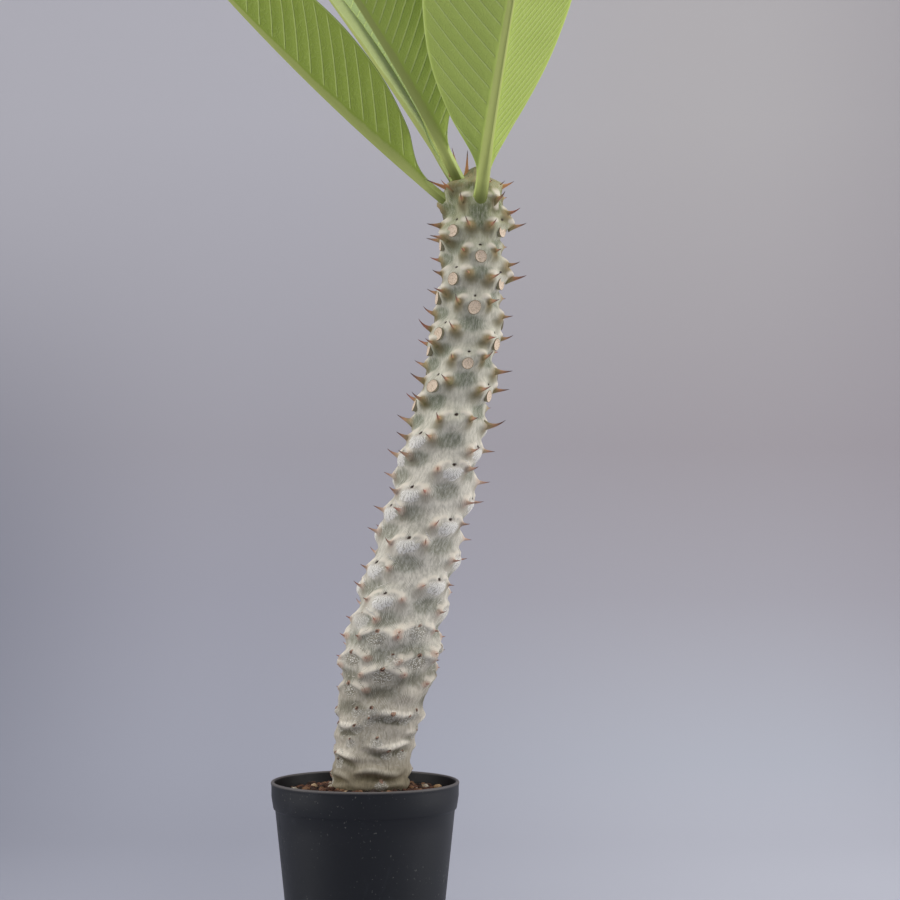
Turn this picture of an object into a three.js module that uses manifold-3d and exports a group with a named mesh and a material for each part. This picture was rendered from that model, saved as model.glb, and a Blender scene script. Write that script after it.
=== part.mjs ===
// A potted Pachypodium baronii: one thick, spiny stem that leans out of a round plastic
// nursery pot, with a crown of large leaves at its tip. Each leaf fell or was cut from a
// knob on the stem, and every knob carries a pair of spines.
//
// Millimetres, +Z up. The origin is the centre of the pot's foot. The stem leans towards
// +X, and the side described as the front faces -Y. Azimuths are measured round the
// vertical from the front, positive towards +X.

import * as THREE from "three";
import Module from "manifold-3d";
import { mergeVertices } from "three/addons/utils/BufferGeometryUtils.js";

const wasm = await Module();
wasm.setup();

// Pot: a moulded tub with a straight collar under its rim and a ring of drainage holes.
const RIM_RADIUS = 45;
const POT_HEIGHT = 80;
const FOOT_RADIUS = 36;
const POT_WALL = 1.4;
const POT_FLOOR = 1.8;
const COLLAR_HEIGHT = 13.5;
const COLLAR_STEP = 0.7;
const LIP_RADIUS = 0.9;
const POT_SIDES = 40;
const DRAIN_COUNT = 6;
const DRAIN_RADIUS = 3;
const DRAIN_CIRCLE = 22;
const DRAIN_SIDES = 8;

// Soil: a bed of baked-clay grit, heaped a little round the stem, with loose grains on it.
const SOIL_TOP = 74;
const SOIL_HEAP = 2.4;
const SOIL_RELIEF = 0.7;
const SOIL_SIDES = 36;
const GRAIN_COUNT = 24;
const GRAIN_RADIUS = 2;

// Seated pieces keep this clearance to what holds them.
const SEAT_GAP = 0.3;

// Stem: its axis and its radius without the knobs, as [height, lean to +X, radius].
// The first five rows are the root that stands in the soil.
const STEM_STATIONS = [
  [36, 2.4, 0],
  [38, 2.4, 5],
  [44, 2.4, 11],
  [54, 2.3, 15.6],
  [70, 2.5, 17.4],
  [88, 3.3, 17.7],
  [106, 5.8, 18.8],
  [123, 9.3, 20.4],
  [137, 11.8, 21.4],
  [152, 14.2, 20.6],
  [180, 21.6, 19],
  [209, 29.8, 17.4],
  [238, 36.8, 15.4],
  [266, 43.4, 12.8],
  [295, 48.6, 11.2],
  [324, 51.4, 10.2],
  [352, 51.8, 9.8],
  [362, 51.9, 8.9],
  [369, 52.3, 7],
  [373.6, 52.6, 4.2],
  [376, 52.8, 0],
];
const STEM_DEPTH_SWAY = 3;
const STEM_SIDES = 26;
const STEM_RING_STEP = 5.2;
const FOLD_RING_STEP = 3.3;
const SPINE_SIDES = 3;
const SCAR_SIDES = 6;
const ROOT_TOP = 66;
const STEM_TIP = 376;

// Knobs follow one spiral: three eighths of a turn from each to the next one up. The knob
// numbered 0 faces the front. Heights are given at a few numbers, and so is the twist that
// the ageing stem adds to their azimuths, at a few heights.
const KNOB_TURN = 135;
const KNOB_FRONT_AZIMUTH = 12;
const KNOB_HEIGHTS = [
  [-76, 80],
  [-51, 130.6],
  [-40, 151.5],
  [-24, 200.3],
  [0, 279.2],
  [24, 354],
  [30, 367.5],
  [33, 372],
];
const KNOB_TWIST = [
  [80, 36],
  [120, 30],
  [150, 24],
  [176, 28],
  [205, 22],
  [228, 9],
  [250, 0],
];

// Some knobs grew off the spiral: number, then how far round the stem and how far up it.
const KNOB_SHIFTS = new Map([
  [21, [0, -2.7]],
  [19, [0, 2.2]],
  [13, [0, -2]],
  [11, [5, 3.2]],
  [8, [-1.5, 1.7]],
  [5, [-13, -2.7]],
  [3, [6, 0]],
  [-3, [-7, -1]],
  [-5, [5, 0.8]],
  [-8, [0, -2.8]],
  [-11, [-11, -0.8]],
  [-13, [4, -1.3]],
  [-19, [-14, 0]],
  [-24, [-3, 1.1]],
  [-27, [-4, 2.4]],
  [-32, [2, -2.3]],
  [-35, [-20, 1.2]],
  [-40, [-4, 0]],
  [-43, [-8, 4.2]],
  [-48, [-1.5, 1.6]],
  [-51, [-3, 1.6]],
]);

// The oldest bark, next to the soil, lies in low folds that run round the stem.
const FOLD_HEIGHTS = [79, 86.5, 94, 103, 112];
const FOLD_TOP = 118;
const FOLD_LIFT = 1.7;

// Leaves: petiole and blade in one, full size at the crown and small at the bud.
const LEAF_LENGTH = 186;
const LEAF_HALF_WIDTH = 36;
const MIDRIB_WIDTH = 6.2;
const MIDRIB_DEPTH = 4.6;
const BLADE_THICKNESS = 0.8;

// Heights between which a knob ages, oldest first, for values that change along the stem.
const AGE_HEIGHTS = [78, 110, 130, 152, 190, 235, 290];

const DEGREE = Math.PI / 180;
const UP = new THREE.Vector3(0, 0, 1);

// The same draws on every run, from 0 to 1.
function seededRandom(seed) {
  let state = seed;
  return () => {
    state = (state * 1664525 + 1013904223) % 4294967296;
    return state / 4294967296;
  };
}

// A value at x on the smooth curve through points [x0, value0], [x1, value1], ...
function smoothThrough(points, x) {
  const last = points.length - 1;
  if (x <= points[0][0]) return points[0][1];
  if (x >= points[last][0]) return points[last][1];
  let i = 0;
  while (points[i + 1][0] < x) i++;
  const slope = (a, b) => (points[b][1] - points[a][1]) / (points[b][0] - points[a][0]);
  const before = i > 0 ? slope(i - 1, i + 1) : slope(i, i + 1);
  const after = i + 1 < last ? slope(i, i + 2) : slope(i, i + 1);
  const width = points[i + 1][0] - points[i][0];
  const t = (x - points[i][0]) / width;
  const s = 1 - t;
  return (
    points[i][1] * s * s * (1 + 2 * t) +
    points[i + 1][1] * t * t * (3 - 2 * t) +
    width * (before * t * s * s - after * t * t * s)
  );
}

// A value that depends on a knob's age, from one number for each of AGE_HEIGHTS.
function byAge(values, height) {
  const points = AGE_HEIGHTS.map((h, i) => [h, values[i]]);
  return smoothThrough(points, height);
}

// A closed solid from a geometry: only positions matter, and shared corners are merged.
function solidFrom(geometry) {
  const bare = geometry.index ? geometry.toNonIndexed() : geometry.clone();
  bare.deleteAttribute("normal");
  bare.deleteAttribute("uv");
  const merged = mergeVertices(bare, 1e-4);
  return new wasm.Manifold(
    new wasm.Mesh({
      numProp: 3,
      vertProperties: new Float32Array(merged.attributes.position.array),
      triVerts: new Uint32Array(merged.index.array),
    }),
  );
}

function geometryFrom(solid) {
  const mesh = solid.getMesh();
  const geometry = new THREE.BufferGeometry();
  geometry.setAttribute("position", new THREE.BufferAttribute(mesh.vertProperties, 3));
  geometry.setIndex(new THREE.BufferAttribute(mesh.triVerts, 1));
  geometry.computeVertexNormals();
  return geometry;
}

// A closed skin over rings of points. Every ring has as many points as the others. The end
// rings are closed by a fan: the first round its own middle, the last round its own or tip.
function loft(rings, tip) {
  const sides = rings[0].length;
  const points = rings.flat();
  const faces = [];
  for (let r = 0; r + 1 < rings.length; r++) {
    for (let i = 0; i < sides; i++) {
      const next = (i + 1) % sides;
      const a = r * sides + i;
      const b = r * sides + next;
      const c = (r + 1) * sides + next;
      const d = (r + 1) * sides + i;
      faces.push(a, b, c, a, c, d);
    }
  }
  const middle = (ring) =>
    ring.reduce((sum, p) => sum.add(p), new THREE.Vector3()).divideScalar(sides);
  const start = points.push(middle(rings[0])) - 1;
  const end = points.push(tip ?? middle(rings[rings.length - 1])) - 1;
  const lastRing = (rings.length - 1) * sides;
  for (let i = 0; i < sides; i++) {
    const next = (i + 1) % sides;
    faces.push(start, next, i, end, lastRing + i, lastRing + next);
  }
  const geometry = new THREE.BufferGeometry().setFromPoints(points);
  geometry.setIndex(faces);
  return geometry;
}

// Stem axis, radius and local directions at a height.
function axisAt(height) {
  const lean = smoothThrough(STEM_STATIONS.map(([h, x]) => [h, x]), height);
  const share = (height - SOIL_TOP) / (STEM_TIP - SOIL_TOP);
  const sway = STEM_DEPTH_SWAY * Math.sin(Math.PI * 1.5 * share);
  return new THREE.Vector3(lean, sway, height);
}

function coreRadius(height) {
  return smoothThrough(STEM_STATIONS.map(([h, , r]) => [h, r]), height);
}

function outward(azimuth) {
  return new THREE.Vector3(Math.sin(azimuth * DEGREE), -Math.cos(azimuth * DEGREE), 0);
}

// Outward normal of the stem's core, and the direction up along its surface there.
function surfaceFrame(azimuth, height) {
  const step = 1;
  const low = axisAt(height - step).addScaledVector(outward(azimuth), coreRadius(height - step));
  const high = axisAt(height + step).addScaledVector(outward(azimuth), coreRadius(height + step));
  const climb = high.sub(low).normalize();
  const across = new THREE.Vector3(Math.cos(azimuth * DEGREE), Math.sin(azimuth * DEGREE), 0);
  const normal = new THREE.Vector3().crossVectors(across, climb).normalize();
  return { climb, across, normal };
}

// The knobs, from the growing tip down. Old knobs have been stretched sideways into low
// folds as the stem thickened, and their spines have worn away.
function layKnobs() {
  const knobs = [];
  const random = seededRandom(11);
  for (let number = KNOB_HEIGHTS.at(-1)[0]; number >= KNOB_HEIGHTS[0][0]; number--) {
    const height = smoothThrough(KNOB_HEIGHTS, number);
    const azimuth = KNOB_FRONT_AZIMUTH + number * KNOB_TURN + smoothThrough(KNOB_TWIST, height);
    const [sideways, upwards] = KNOB_SHIFTS.get(number) ?? [0, 0];
    knobs.push({
      azimuth: azimuth + (random() - 0.5) * 7 + sideways,
      height: height + (random() - 0.5) * 1.6 + upwards,
      spread: byAge([12, 11, 9.6, 8.8, 7.4, 6.2, 5.2], height),
      rise: byAge([1.3, 1.6, 3.2, 3.8, 3.7, 3.1, 2.5], height),
      tallness: byAge([2.6, 3.4, 4.4, 5.4, 6, 5.6, 4.8], height),
      spine: byAge([0, 0, 3.2, 4.8, 7.2, 10, 10.4], height) * (0.85 + random() * 0.3),
      spineLift: byAge([0.5, 0.5, 0.4, 0.8, 1.8, 2.3, 2.3], height),
    });
  }
  return knobs;
}
const KNOBS = layKnobs();

// How far the knobs and folds lift the stem's skin at a place.
function knobRelief(azimuth, height) {
  const girth = coreRadius(height) * DEGREE;
  let lift = 0;
  for (const knob of KNOBS) {
    const up = (height - knob.height - 0.8) / knob.tallness;
    if (Math.abs(up) > 2.4) continue;
    const turn = ((((azimuth - knob.azimuth) % 360) + 540) % 360) - 180;
    const aside = (turn * girth) / (knob.spread * 0.76);
    lift += knob.rise * Math.exp(-up * up - aside * aside);
  }
  for (const [i, fold] of FOLD_HEIGHTS.entries()) {
    const wander = 1.4 * Math.sin(azimuth * DEGREE + i * 2.1);
    const up = (height - fold - wander) / 2.4;
    const share = 0.6 + 0.4 * Math.sin(2 * azimuth * DEGREE + i * 1.3);
    lift += FOLD_LIFT * share * Math.exp(-up * up);
  }
  const fade = THREE.MathUtils.smoothstep(height, ROOT_TOP, SOIL_TOP + 4);
  return lift * fade * Math.min(1, coreRadius(height) / 9);
}

function skinPoint(azimuth, height, above = 0) {
  const reach = coreRadius(height) + knobRelief(azimuth, height) + above;
  return axisAt(height).addScaledVector(outward(azimuth), reach);
}

function ringHeights() {
  const heights = STEM_STATIONS.slice(1, 4).map(([h]) => h);
  for (let h = ROOT_TOP; h < FOLD_TOP; h += FOLD_RING_STEP) heights.push(h);
  for (let h = FOLD_TOP + 1; h < STEM_STATIONS.at(-5)[0] - 2; h += STEM_RING_STEP) heights.push(h);
  heights.push(...STEM_STATIONS.slice(-5, -1).map(([h]) => h));
  return heights;
}

function stemRing(height, above = 0) {
  return Array.from({ length: STEM_SIDES }, (_, i) =>
    skinPoint((i * 360) / STEM_SIDES, height, above),
  );
}

function stemCore() {
  return solidFrom(loft(ringHeights().map((height) => stemRing(height))));
}

// One ring of a spine, square to the line it grows along.
function spineRing(centre, along, radius, sides) {
  const first = new THREE.Vector3().crossVectors(along, UP).normalize();
  const second = new THREE.Vector3().crossVectors(along, first).normalize();
  return Array.from({ length: sides }, (_, i) => {
    const turn = (i * 2 * Math.PI) / sides;
    return centre
      .clone()
      .addScaledVector(first, Math.cos(turn) * radius)
      .addScaledVector(second, Math.sin(turn) * radius);
  });
}

// A spine rises from a flared foot and hooks a little towards the tip of the stem.
function spineSolid(knob, side) {
  const azimuth = knob.azimuth + (side * knob.spread) / (coreRadius(knob.height) * DEGREE);
  const height = knob.height + knob.spineLift;
  const { climb, across, normal } = surfaceFrame(azimuth, height);
  const foot = skinPoint(azimuth, height);
  const rising = 18 * DEGREE;
  const along = normal
    .clone()
    .multiplyScalar(Math.cos(rising))
    .addScaledVector(climb, Math.sin(rising))
    .addScaledVector(across, side * -0.12)
    .normalize();
  const footRadius = 1.4 + knob.spine * 0.18;
  const rings = [
    spineRing(foot.clone().addScaledVector(normal, -3), normal, footRadius * 1.2, SPINE_SIDES),
    spineRing(
      foot.clone().addScaledVector(along, knob.spine * 0.34),
      along,
      footRadius * 0.5,
      SPINE_SIDES,
    ),
  ];
  const tip = foot.clone().addScaledVector(along, knob.spine);
  return solidFrom(loft(rings, tip.addScaledVector(climb, 0.1 * knob.spine)));
}

// The pale round stub where a leaf was shed, square to the stem's skin.
function leafScar(knob) {
  const { normal } = surfaceFrame(knob.azimuth, knob.height);
  const foot = skinPoint(knob.azimuth, knob.height - 0.6);
  return solidFrom(
    loft([
      spineRing(foot.clone().addScaledVector(normal, -2.5), normal, 3.1, SCAR_SIDES),
      spineRing(foot.clone().addScaledVector(normal, 0.7), normal, 3, SCAR_SIDES),
    ]),
  );
}

// Half the leaf's width at a share of its length, for a leaf of full size.
function halfWidthAt(share) {
  const outline = [
    [0, MIDRIB_WIDTH / 2],
    [0.1, MIDRIB_WIDTH / 2],
    [0.15, 6.8],
    [0.23, 17],
    [0.36, 28],
    [0.5, 34.4],
    [0.6, LEAF_HALF_WIDTH],
    [0.7, 35],
    [0.8, 30.6],
    [0.88, 23],
    [0.94, 14.6],
    [0.975, 8],
    [1, 1.5],
  ];
  return smoothThrough(outline, share);
}

// Leaves: the knob each grows from as heading and height, the climb of its midrib at the
// petiole and at the tip, the roll about its midrib, the fold of its halves, its size, and
// how broad it is for its size.
const LEAVES = [
  ["leaf_front", 12, 354, [55, 44], 6, [28, 24], 1, 1.12],
  ["leaf_left", -84, 355, [38, 48], 4, [46, 38], 0.97, 1],
  ["leaf_left_front", -48, 366, [55, 40], 0, [44, 36], 0.94, 1],
  ["leaf_left_back", -128, 364, [52, 47], -6, [46, 36], 0.9, 1],
  ["leaf_back", 162, 360, [75, 55], 0, [34, 26], 0.84, 1],
  ["leaf_young_right", 62, 370, [74, 80], 0, [62, 54], 0.34, 1],
  ["leaf_young_back", 150, 372, [80, 86], 0, [66, 60], 0.25, 1],
].map(([name, heading, height, climb, roll, fold, size, broad]) => {
  return { name, heading, height, climb, roll, fold, size, broad };
});

// Where the midrib runs, station by station, with the leaf's own directions there.
function midribStations(leaf, shares) {
  const length = LEAF_LENGTH * leaf.size;
  const across = new THREE.Vector3(
    Math.cos(leaf.heading * DEGREE),
    Math.sin(leaf.heading * DEGREE),
    0,
  );
  const start = skinPoint(leaf.heading, leaf.height, leaf.size > 0.5 ? -1.6 : -1);
  const stations = [];
  const steps = 60;
  let place = start.clone();
  let done = 0;
  for (const share of shares) {
    while (done < share - 1e-9) {
      const stride = Math.min(1 / steps, share - done);
      const slope = THREE.MathUtils.lerp(...leaf.climb, done + stride / 2) * DEGREE;
      const along = outward(leaf.heading).multiplyScalar(Math.cos(slope));
      along.z = Math.sin(slope);
      place = place.clone().addScaledVector(along, stride * length);
      done += stride;
    }
    const slope = THREE.MathUtils.lerp(...leaf.climb, share) * DEGREE;
    const along = outward(leaf.heading).multiplyScalar(Math.cos(slope));
    along.z = Math.sin(slope);
    const side = across.clone().applyAxisAngle(along, leaf.roll * DEGREE);
    const face = new THREE.Vector3().crossVectors(along, side).normalize();
    stations.push({ share, place, along, side, face });
  }
  return stations;
}

// One section of a leaf: the blade folds up on both sides of a rounded midrib that
// stands out below. Points run once round the section, seen from the petiole.
function leafSection(leaf, station, growth = 0) {
  const { share, place, side, face } = station;
  const scale = leaf.size;
  const rib = Math.max(0.9, (MIDRIB_WIDTH / 2) * scale * (1 - 0.72 * share)) + growth;
  const depth = Math.max(1.1, MIDRIB_DEPTH * scale * (1 - 0.8 * share)) + growth;
  const width = Math.max(rib + 0.05, halfWidthAt(share) * scale * leaf.broad + growth);
  const thick = BLADE_THICKNESS;
  const opened = THREE.MathUtils.smoothstep(share, 0.06, 0.22);
  const foldAt = (q) => THREE.MathUtils.lerp(...leaf.fold, q) * DEGREE * opened;
  const spots = [0, rib, rib + (width - rib) * 0.5, width];
  const curve = [[0, 0]];
  for (let i = 1; i < spots.length; i++) {
    const bend = foldAt((spots[i - 1] + spots[i]) / 2 / width);
    const run = spots[i] - spots[i - 1];
    curve.push([
      curve[i - 1][0] + run * Math.cos(bend),
      curve[i - 1][1] + run * Math.sin(bend),
    ]);
  }
  const spread = (x, y) => place.clone().addScaledVector(side, x).addScaledVector(face, y);
  const top = [];
  const under = [];
  for (const sign of [-1, 1]) {
    for (const i of sign < 0 ? [3, 2, 1] : [1, 2, 3]) {
      top.push(spread(sign * curve[i][0], curve[i][1] + growth));
      const drop = i === 1 ? Math.max(thick, depth * 0.42) : thick;
      under.push(spread(sign * curve[i][0], curve[i][1] - drop - growth));
    }
    if (sign < 0) {
      top.push(spread(0, growth));
      under.push(spread(-rib * 0.5, -depth - growth), spread(rib * 0.5, -depth - growth));
    }
  }
  return [...under, ...top.reverse()];
}

const LEAF_SHARES = [0, 0.05, 0.1, 0.15, 0.2, 0.27, 0.36, 0.46, 0.57, 0.68, 0.78, 0.87, 0.94, 0.98];
const YOUNG_SHARES = [0, 0.08, 0.16, 0.27, 0.42, 0.6, 0.78, 0.92, 0.985];

function leafSolid(leaf) {
  const shares = leaf.size > 0.5 ? LEAF_SHARES : YOUNG_SHARES;
  const rings = midribStations(leaf, shares).map((station) => leafSection(leaf, station));
  return solidFrom(loft(rings));
}

// The socket that a petiole sits in: its own foot, grown by the seat's clearance.
function leafSocket(leaf) {
  const stations = midribStations(leaf, [0, 0.04, 0.08]);
  const rings = stations.map((station) => leafSection(leaf, station, SEAT_GAP));
  const back = stations[0].along.clone().multiplyScalar(-SEAT_GAP);
  const sunk = rings[0].map((point) => point.clone().add(back));
  return solidFrom(loft([sunk, ...rings]));
}

function buildStem() {
  const parts = [stemCore()];
  for (const knob of KNOBS) {
    const leafHere = LEAVES.some((leaf) => nearLeaf(leaf, knob));
    if (knob.spine > 1.2 && knob.height < 366) {
      for (const side of [-1, 1]) {
        const clear = knob.height < 330 || !spineHitsLeaf(knob, side);
        if (clear) parts.push(spineSolid(knob, side));
      }
    }
    if (knob.height > 257 && knob.height < 356 && !leafHere) parts.push(leafScar(knob));
  }
  let stem = wasm.Manifold.union(parts);
  for (const leaf of LEAVES) stem = stem.subtract(leafSocket(leaf));
  return outerSkin(stem);
}

// Only the largest closed skin of a solid, without pockets sealed inside it or chips.
function outerSkin(solid) {
  const skins = solid.decompose();
  return skins.reduce((best, skin) => (skin.volume() > best.volume() ? skin : best));
}

function nearLeaf(leaf, knob) {
  const turn = ((((leaf.heading - knob.azimuth) % 360) + 540) % 360) - 180;
  return Math.abs(turn) < 34 && Math.abs(leaf.height - knob.height) < 9;
}

function spineHitsLeaf(knob, side) {
  const spine = spineSolid(knob, side);
  return LEAVES.some((leaf) => spine.intersect(leafSocketLong(leaf)).volume() > 0);
}

// The petiole with room round it, which spines keep clear of.
function leafSocketLong(leaf) {
  const stations = midribStations(leaf, [0, 0.08, 0.16, 0.24]);
  return solidFrom(loft(stations.map((station) => leafSection(leaf, station, 0.6))));
}

// The pot's profile from the middle of its foot, up the outside and down the inside.
function buildPot() {
  const slope = (RIM_RADIUS - COLLAR_STEP - FOOT_RADIUS) / POT_HEIGHT;
  const outerAt = (z) => FOOT_RADIUS + slope * z;
  const collarFoot = POT_HEIGHT - COLLAR_HEIGHT;
  const profile = [
    [0, 0],
    [FOOT_RADIUS - 1.2, 0],
    [FOOT_RADIUS, 1.2],
    [outerAt(collarFoot), collarFoot],
    [outerAt(collarFoot) + COLLAR_STEP + 0.2, collarFoot + 0.8],
    [RIM_RADIUS, POT_HEIGHT - LIP_RADIUS],
    [RIM_RADIUS - LIP_RADIUS * 0.3, POT_HEIGHT - LIP_RADIUS * 0.3],
    [RIM_RADIUS - LIP_RADIUS, POT_HEIGHT],
    [RIM_RADIUS - LIP_RADIUS * 1.9, POT_HEIGHT - LIP_RADIUS * 0.4],
    [outerAt(collarFoot) - POT_WALL, collarFoot],
    [FOOT_RADIUS - POT_WALL + slope * 3, POT_FLOOR + 1.2],
    [FOOT_RADIUS - POT_WALL - 1.2, POT_FLOOR],
    [0, POT_FLOOR],
  ];
  const points = profile.map(([r, z]) => new THREE.Vector2(r, z));
  const tub = new THREE.LatheGeometry(points, POT_SIDES).rotateX(Math.PI / 2);
  let pot = solidFrom(tub);
  for (let i = 0; i < DRAIN_COUNT; i++) {
    const turn = (i * 2 * Math.PI) / DRAIN_COUNT;
    const hole = new THREE.CylinderGeometry(DRAIN_RADIUS, DRAIN_RADIUS, 6, DRAIN_SIDES)
      .rotateX(Math.PI / 2)
      .translate(DRAIN_CIRCLE * Math.cos(turn), DRAIN_CIRCLE * Math.sin(turn), 0);
    pot = pot.subtract(solidFrom(hole));
  }
  return pot;
}

// The soil fills the pot from its floor, with an uneven top and a hole for the stem.
function buildSoil() {
  const random = seededRandom(5);
  const slope = (RIM_RADIUS - COLLAR_STEP - FOOT_RADIUS) / POT_HEIGHT;
  const wallAt = (z) => FOOT_RADIUS - POT_WALL + slope * z - SEAT_GAP;
  const ringAt = (radius, z, relief) =>
    Array.from({ length: SOIL_SIDES }, (_, i) => {
      const turn = (i * 2 * Math.PI) / SOIL_SIDES;
      const lift = (random() - 0.5) * 2 * relief;
      return new THREE.Vector3(radius * Math.cos(turn), radius * Math.sin(turn), z + lift);
    });
  const edge = wallAt(SOIL_TOP) - 0.3;
  const heapAt = (radius) =>
    SOIL_TOP + SOIL_HEAP * (1 - THREE.MathUtils.smoothstep(radius, edge * 0.4, edge));
  const parts = [
    solidFrom(
      loft([
        ringAt(FOOT_RADIUS - POT_WALL - 3, POT_FLOOR + SEAT_GAP, 0),
        ringAt(wallAt(6) - 0.6, 6, 0),
        ringAt(edge, SOIL_TOP, SOIL_RELIEF * 0.5),
        ringAt(edge * 0.84, heapAt(edge * 0.84), SOIL_RELIEF),
        ringAt(edge * 0.66, heapAt(edge * 0.66), SOIL_RELIEF),
        ringAt(edge * 0.3, heapAt(0), 0),
      ]),
    ),
  ];
  const stemFoot = axisAt(SOIL_TOP).setZ(0);
  while (parts.length <= GRAIN_COUNT) {
    const size = GRAIN_RADIUS * (0.7 + random() * 0.6);
    const turn = random() * 2 * Math.PI;
    const reach = (edge - size) * Math.sqrt(random());
    const spot = new THREE.Vector3(reach * Math.cos(turn), reach * Math.sin(turn), 0);
    const spin = random() * Math.PI;
    if (spot.distanceTo(stemFoot) < coreRadius(SOIL_TOP) + size + 4.5) continue;
    const grain = new THREE.IcosahedronGeometry(size, 0)
      .scale(1, 0.9, 0.75)
      .rotateZ(spin)
      .translate(spot.x, spot.y, heapAt(reach) + size * 0.3);
    parts.push(solidFrom(grain));
  }
  return wasm.Manifold.union(parts).subtract(stemHole());
}

// The stem's own shape from its root to just over the soil, grown by the seat's gap.
function stemHole() {
  const heights = ringHeights().filter((height) => height < SOIL_TOP + 10);
  const rings = heights.map((height) => stemRing(height, SEAT_GAP));
  const foot = rings[0].map((point) => point.clone().setZ(point.z - SEAT_GAP));
  return solidFrom(loft([foot, ...rings]));
}

function mesh(name, solid, color, roughness) {
  const material = new THREE.MeshStandardMaterial({ color, roughness, metalness: 0 });
  const made = new THREE.Mesh(geometryFrom(solid), material);
  made.name = name;
  return made;
}

const plant = new THREE.Group();
plant.add(mesh("pot", buildPot(), 0x24262a, 0.55));
plant.add(mesh("soil", buildSoil(), 0x7a5a40, 0.95));
plant.add(mesh("stem", buildStem(), 0xa9aa98, 0.7));
for (const leaf of LEAVES) {
  plant.add(mesh(leaf.name, leafSolid(leaf), leaf.size > 0.5 ? 0x7f9a45 : 0x97b356, 0.45));
}

export default plant;
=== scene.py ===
# A potted Pachypodium baronii: one thick spiny stem that leans out of a round nursery pot and
# carries a crown of large leaves. Metres, +Z up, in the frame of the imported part; sizes in the
# sections below are in millimetres, as a grower would write them down.

import math
import random

import bpy
import numpy as np
from mathutils import Euler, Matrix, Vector, noise


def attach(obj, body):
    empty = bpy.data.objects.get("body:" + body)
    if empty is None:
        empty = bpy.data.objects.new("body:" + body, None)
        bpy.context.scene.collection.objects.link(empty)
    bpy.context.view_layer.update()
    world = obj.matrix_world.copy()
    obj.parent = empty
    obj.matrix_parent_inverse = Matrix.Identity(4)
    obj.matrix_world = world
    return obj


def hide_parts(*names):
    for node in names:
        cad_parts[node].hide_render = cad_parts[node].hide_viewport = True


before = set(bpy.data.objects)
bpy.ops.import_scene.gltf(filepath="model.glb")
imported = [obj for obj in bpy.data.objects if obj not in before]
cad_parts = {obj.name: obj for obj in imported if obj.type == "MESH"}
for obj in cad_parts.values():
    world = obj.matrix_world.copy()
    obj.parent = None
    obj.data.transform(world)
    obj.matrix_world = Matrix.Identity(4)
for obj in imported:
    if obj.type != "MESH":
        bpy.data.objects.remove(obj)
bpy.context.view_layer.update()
bpy.ops.object.select_all(action="DESELECT")

# ----------------------------------------
# The pot: a round nursery pot, moulded in one piece from thin black plastic. Its wall tapers to
# the foot, a straight collar stiffens its rim, and a rolled lip closes it. Water leaves through
# a ring of holes in the foot.

MM = 0.001
POT_SIDES = 128
POT_HEIGHT = 80
RIM_RADIUS = 45
FOOT_RADIUS = 36
WALL = 1.4
COLLAR_FOOT = 66.5
COLLAR_STEP = 0.7
LIP = 0.9
WALL_SLOPE = (RIM_RADIUS - COLLAR_STEP - FOOT_RADIUS) / POT_HEIGHT


def wall_radius(height):
    """The pot's outer radius under its collar."""
    return FOOT_RADIUS + WALL_SLOPE * height


def lathe(name, profile, sides):
    """Raise a round form ring by ring through (radius, height) points and close its ends."""
    radius, height = profile[0]
    bpy.ops.mesh.primitive_circle_add(
        vertices=sides, radius=radius * MM, fill_type="NOTHING", location=(0, 0, height * MM)
    )
    form = bpy.context.object
    form.name = name
    form.data.name = name
    bpy.ops.object.mode_set(mode="EDIT")
    for (r0, z0), (r1, z1) in zip(profile, profile[1:]):
        bpy.ops.mesh.extrude_region_move(
            TRANSFORM_OT_translate={"value": (0, 0, (z1 - z0) * MM)}
        )
        bpy.ops.transform.resize(
            value=(r1 / r0, r1 / r0, 1), center_override=(0, 0, z1 * MM)
        )
    bpy.ops.mesh.select_all(action="DESELECT")
    bpy.ops.mesh.select_non_manifold()
    bpy.ops.mesh.fill_holes(sides=0)
    bpy.ops.mesh.select_all(action="SELECT")
    bpy.ops.mesh.normals_make_consistent(inside=False)
    bpy.ops.object.mode_set(mode="OBJECT")
    bpy.ops.object.transform_apply(location=True, rotation=True, scale=True)
    bpy.ops.object.shade_smooth_by_angle(angle=math.radians(38))
    return form


def pick(piece):
    """Make one object the only selected one, and the active one."""
    bpy.ops.object.select_all(action="DESELECT")
    bpy.context.view_layer.objects.active = piece
    piece.select_set(True)


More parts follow.
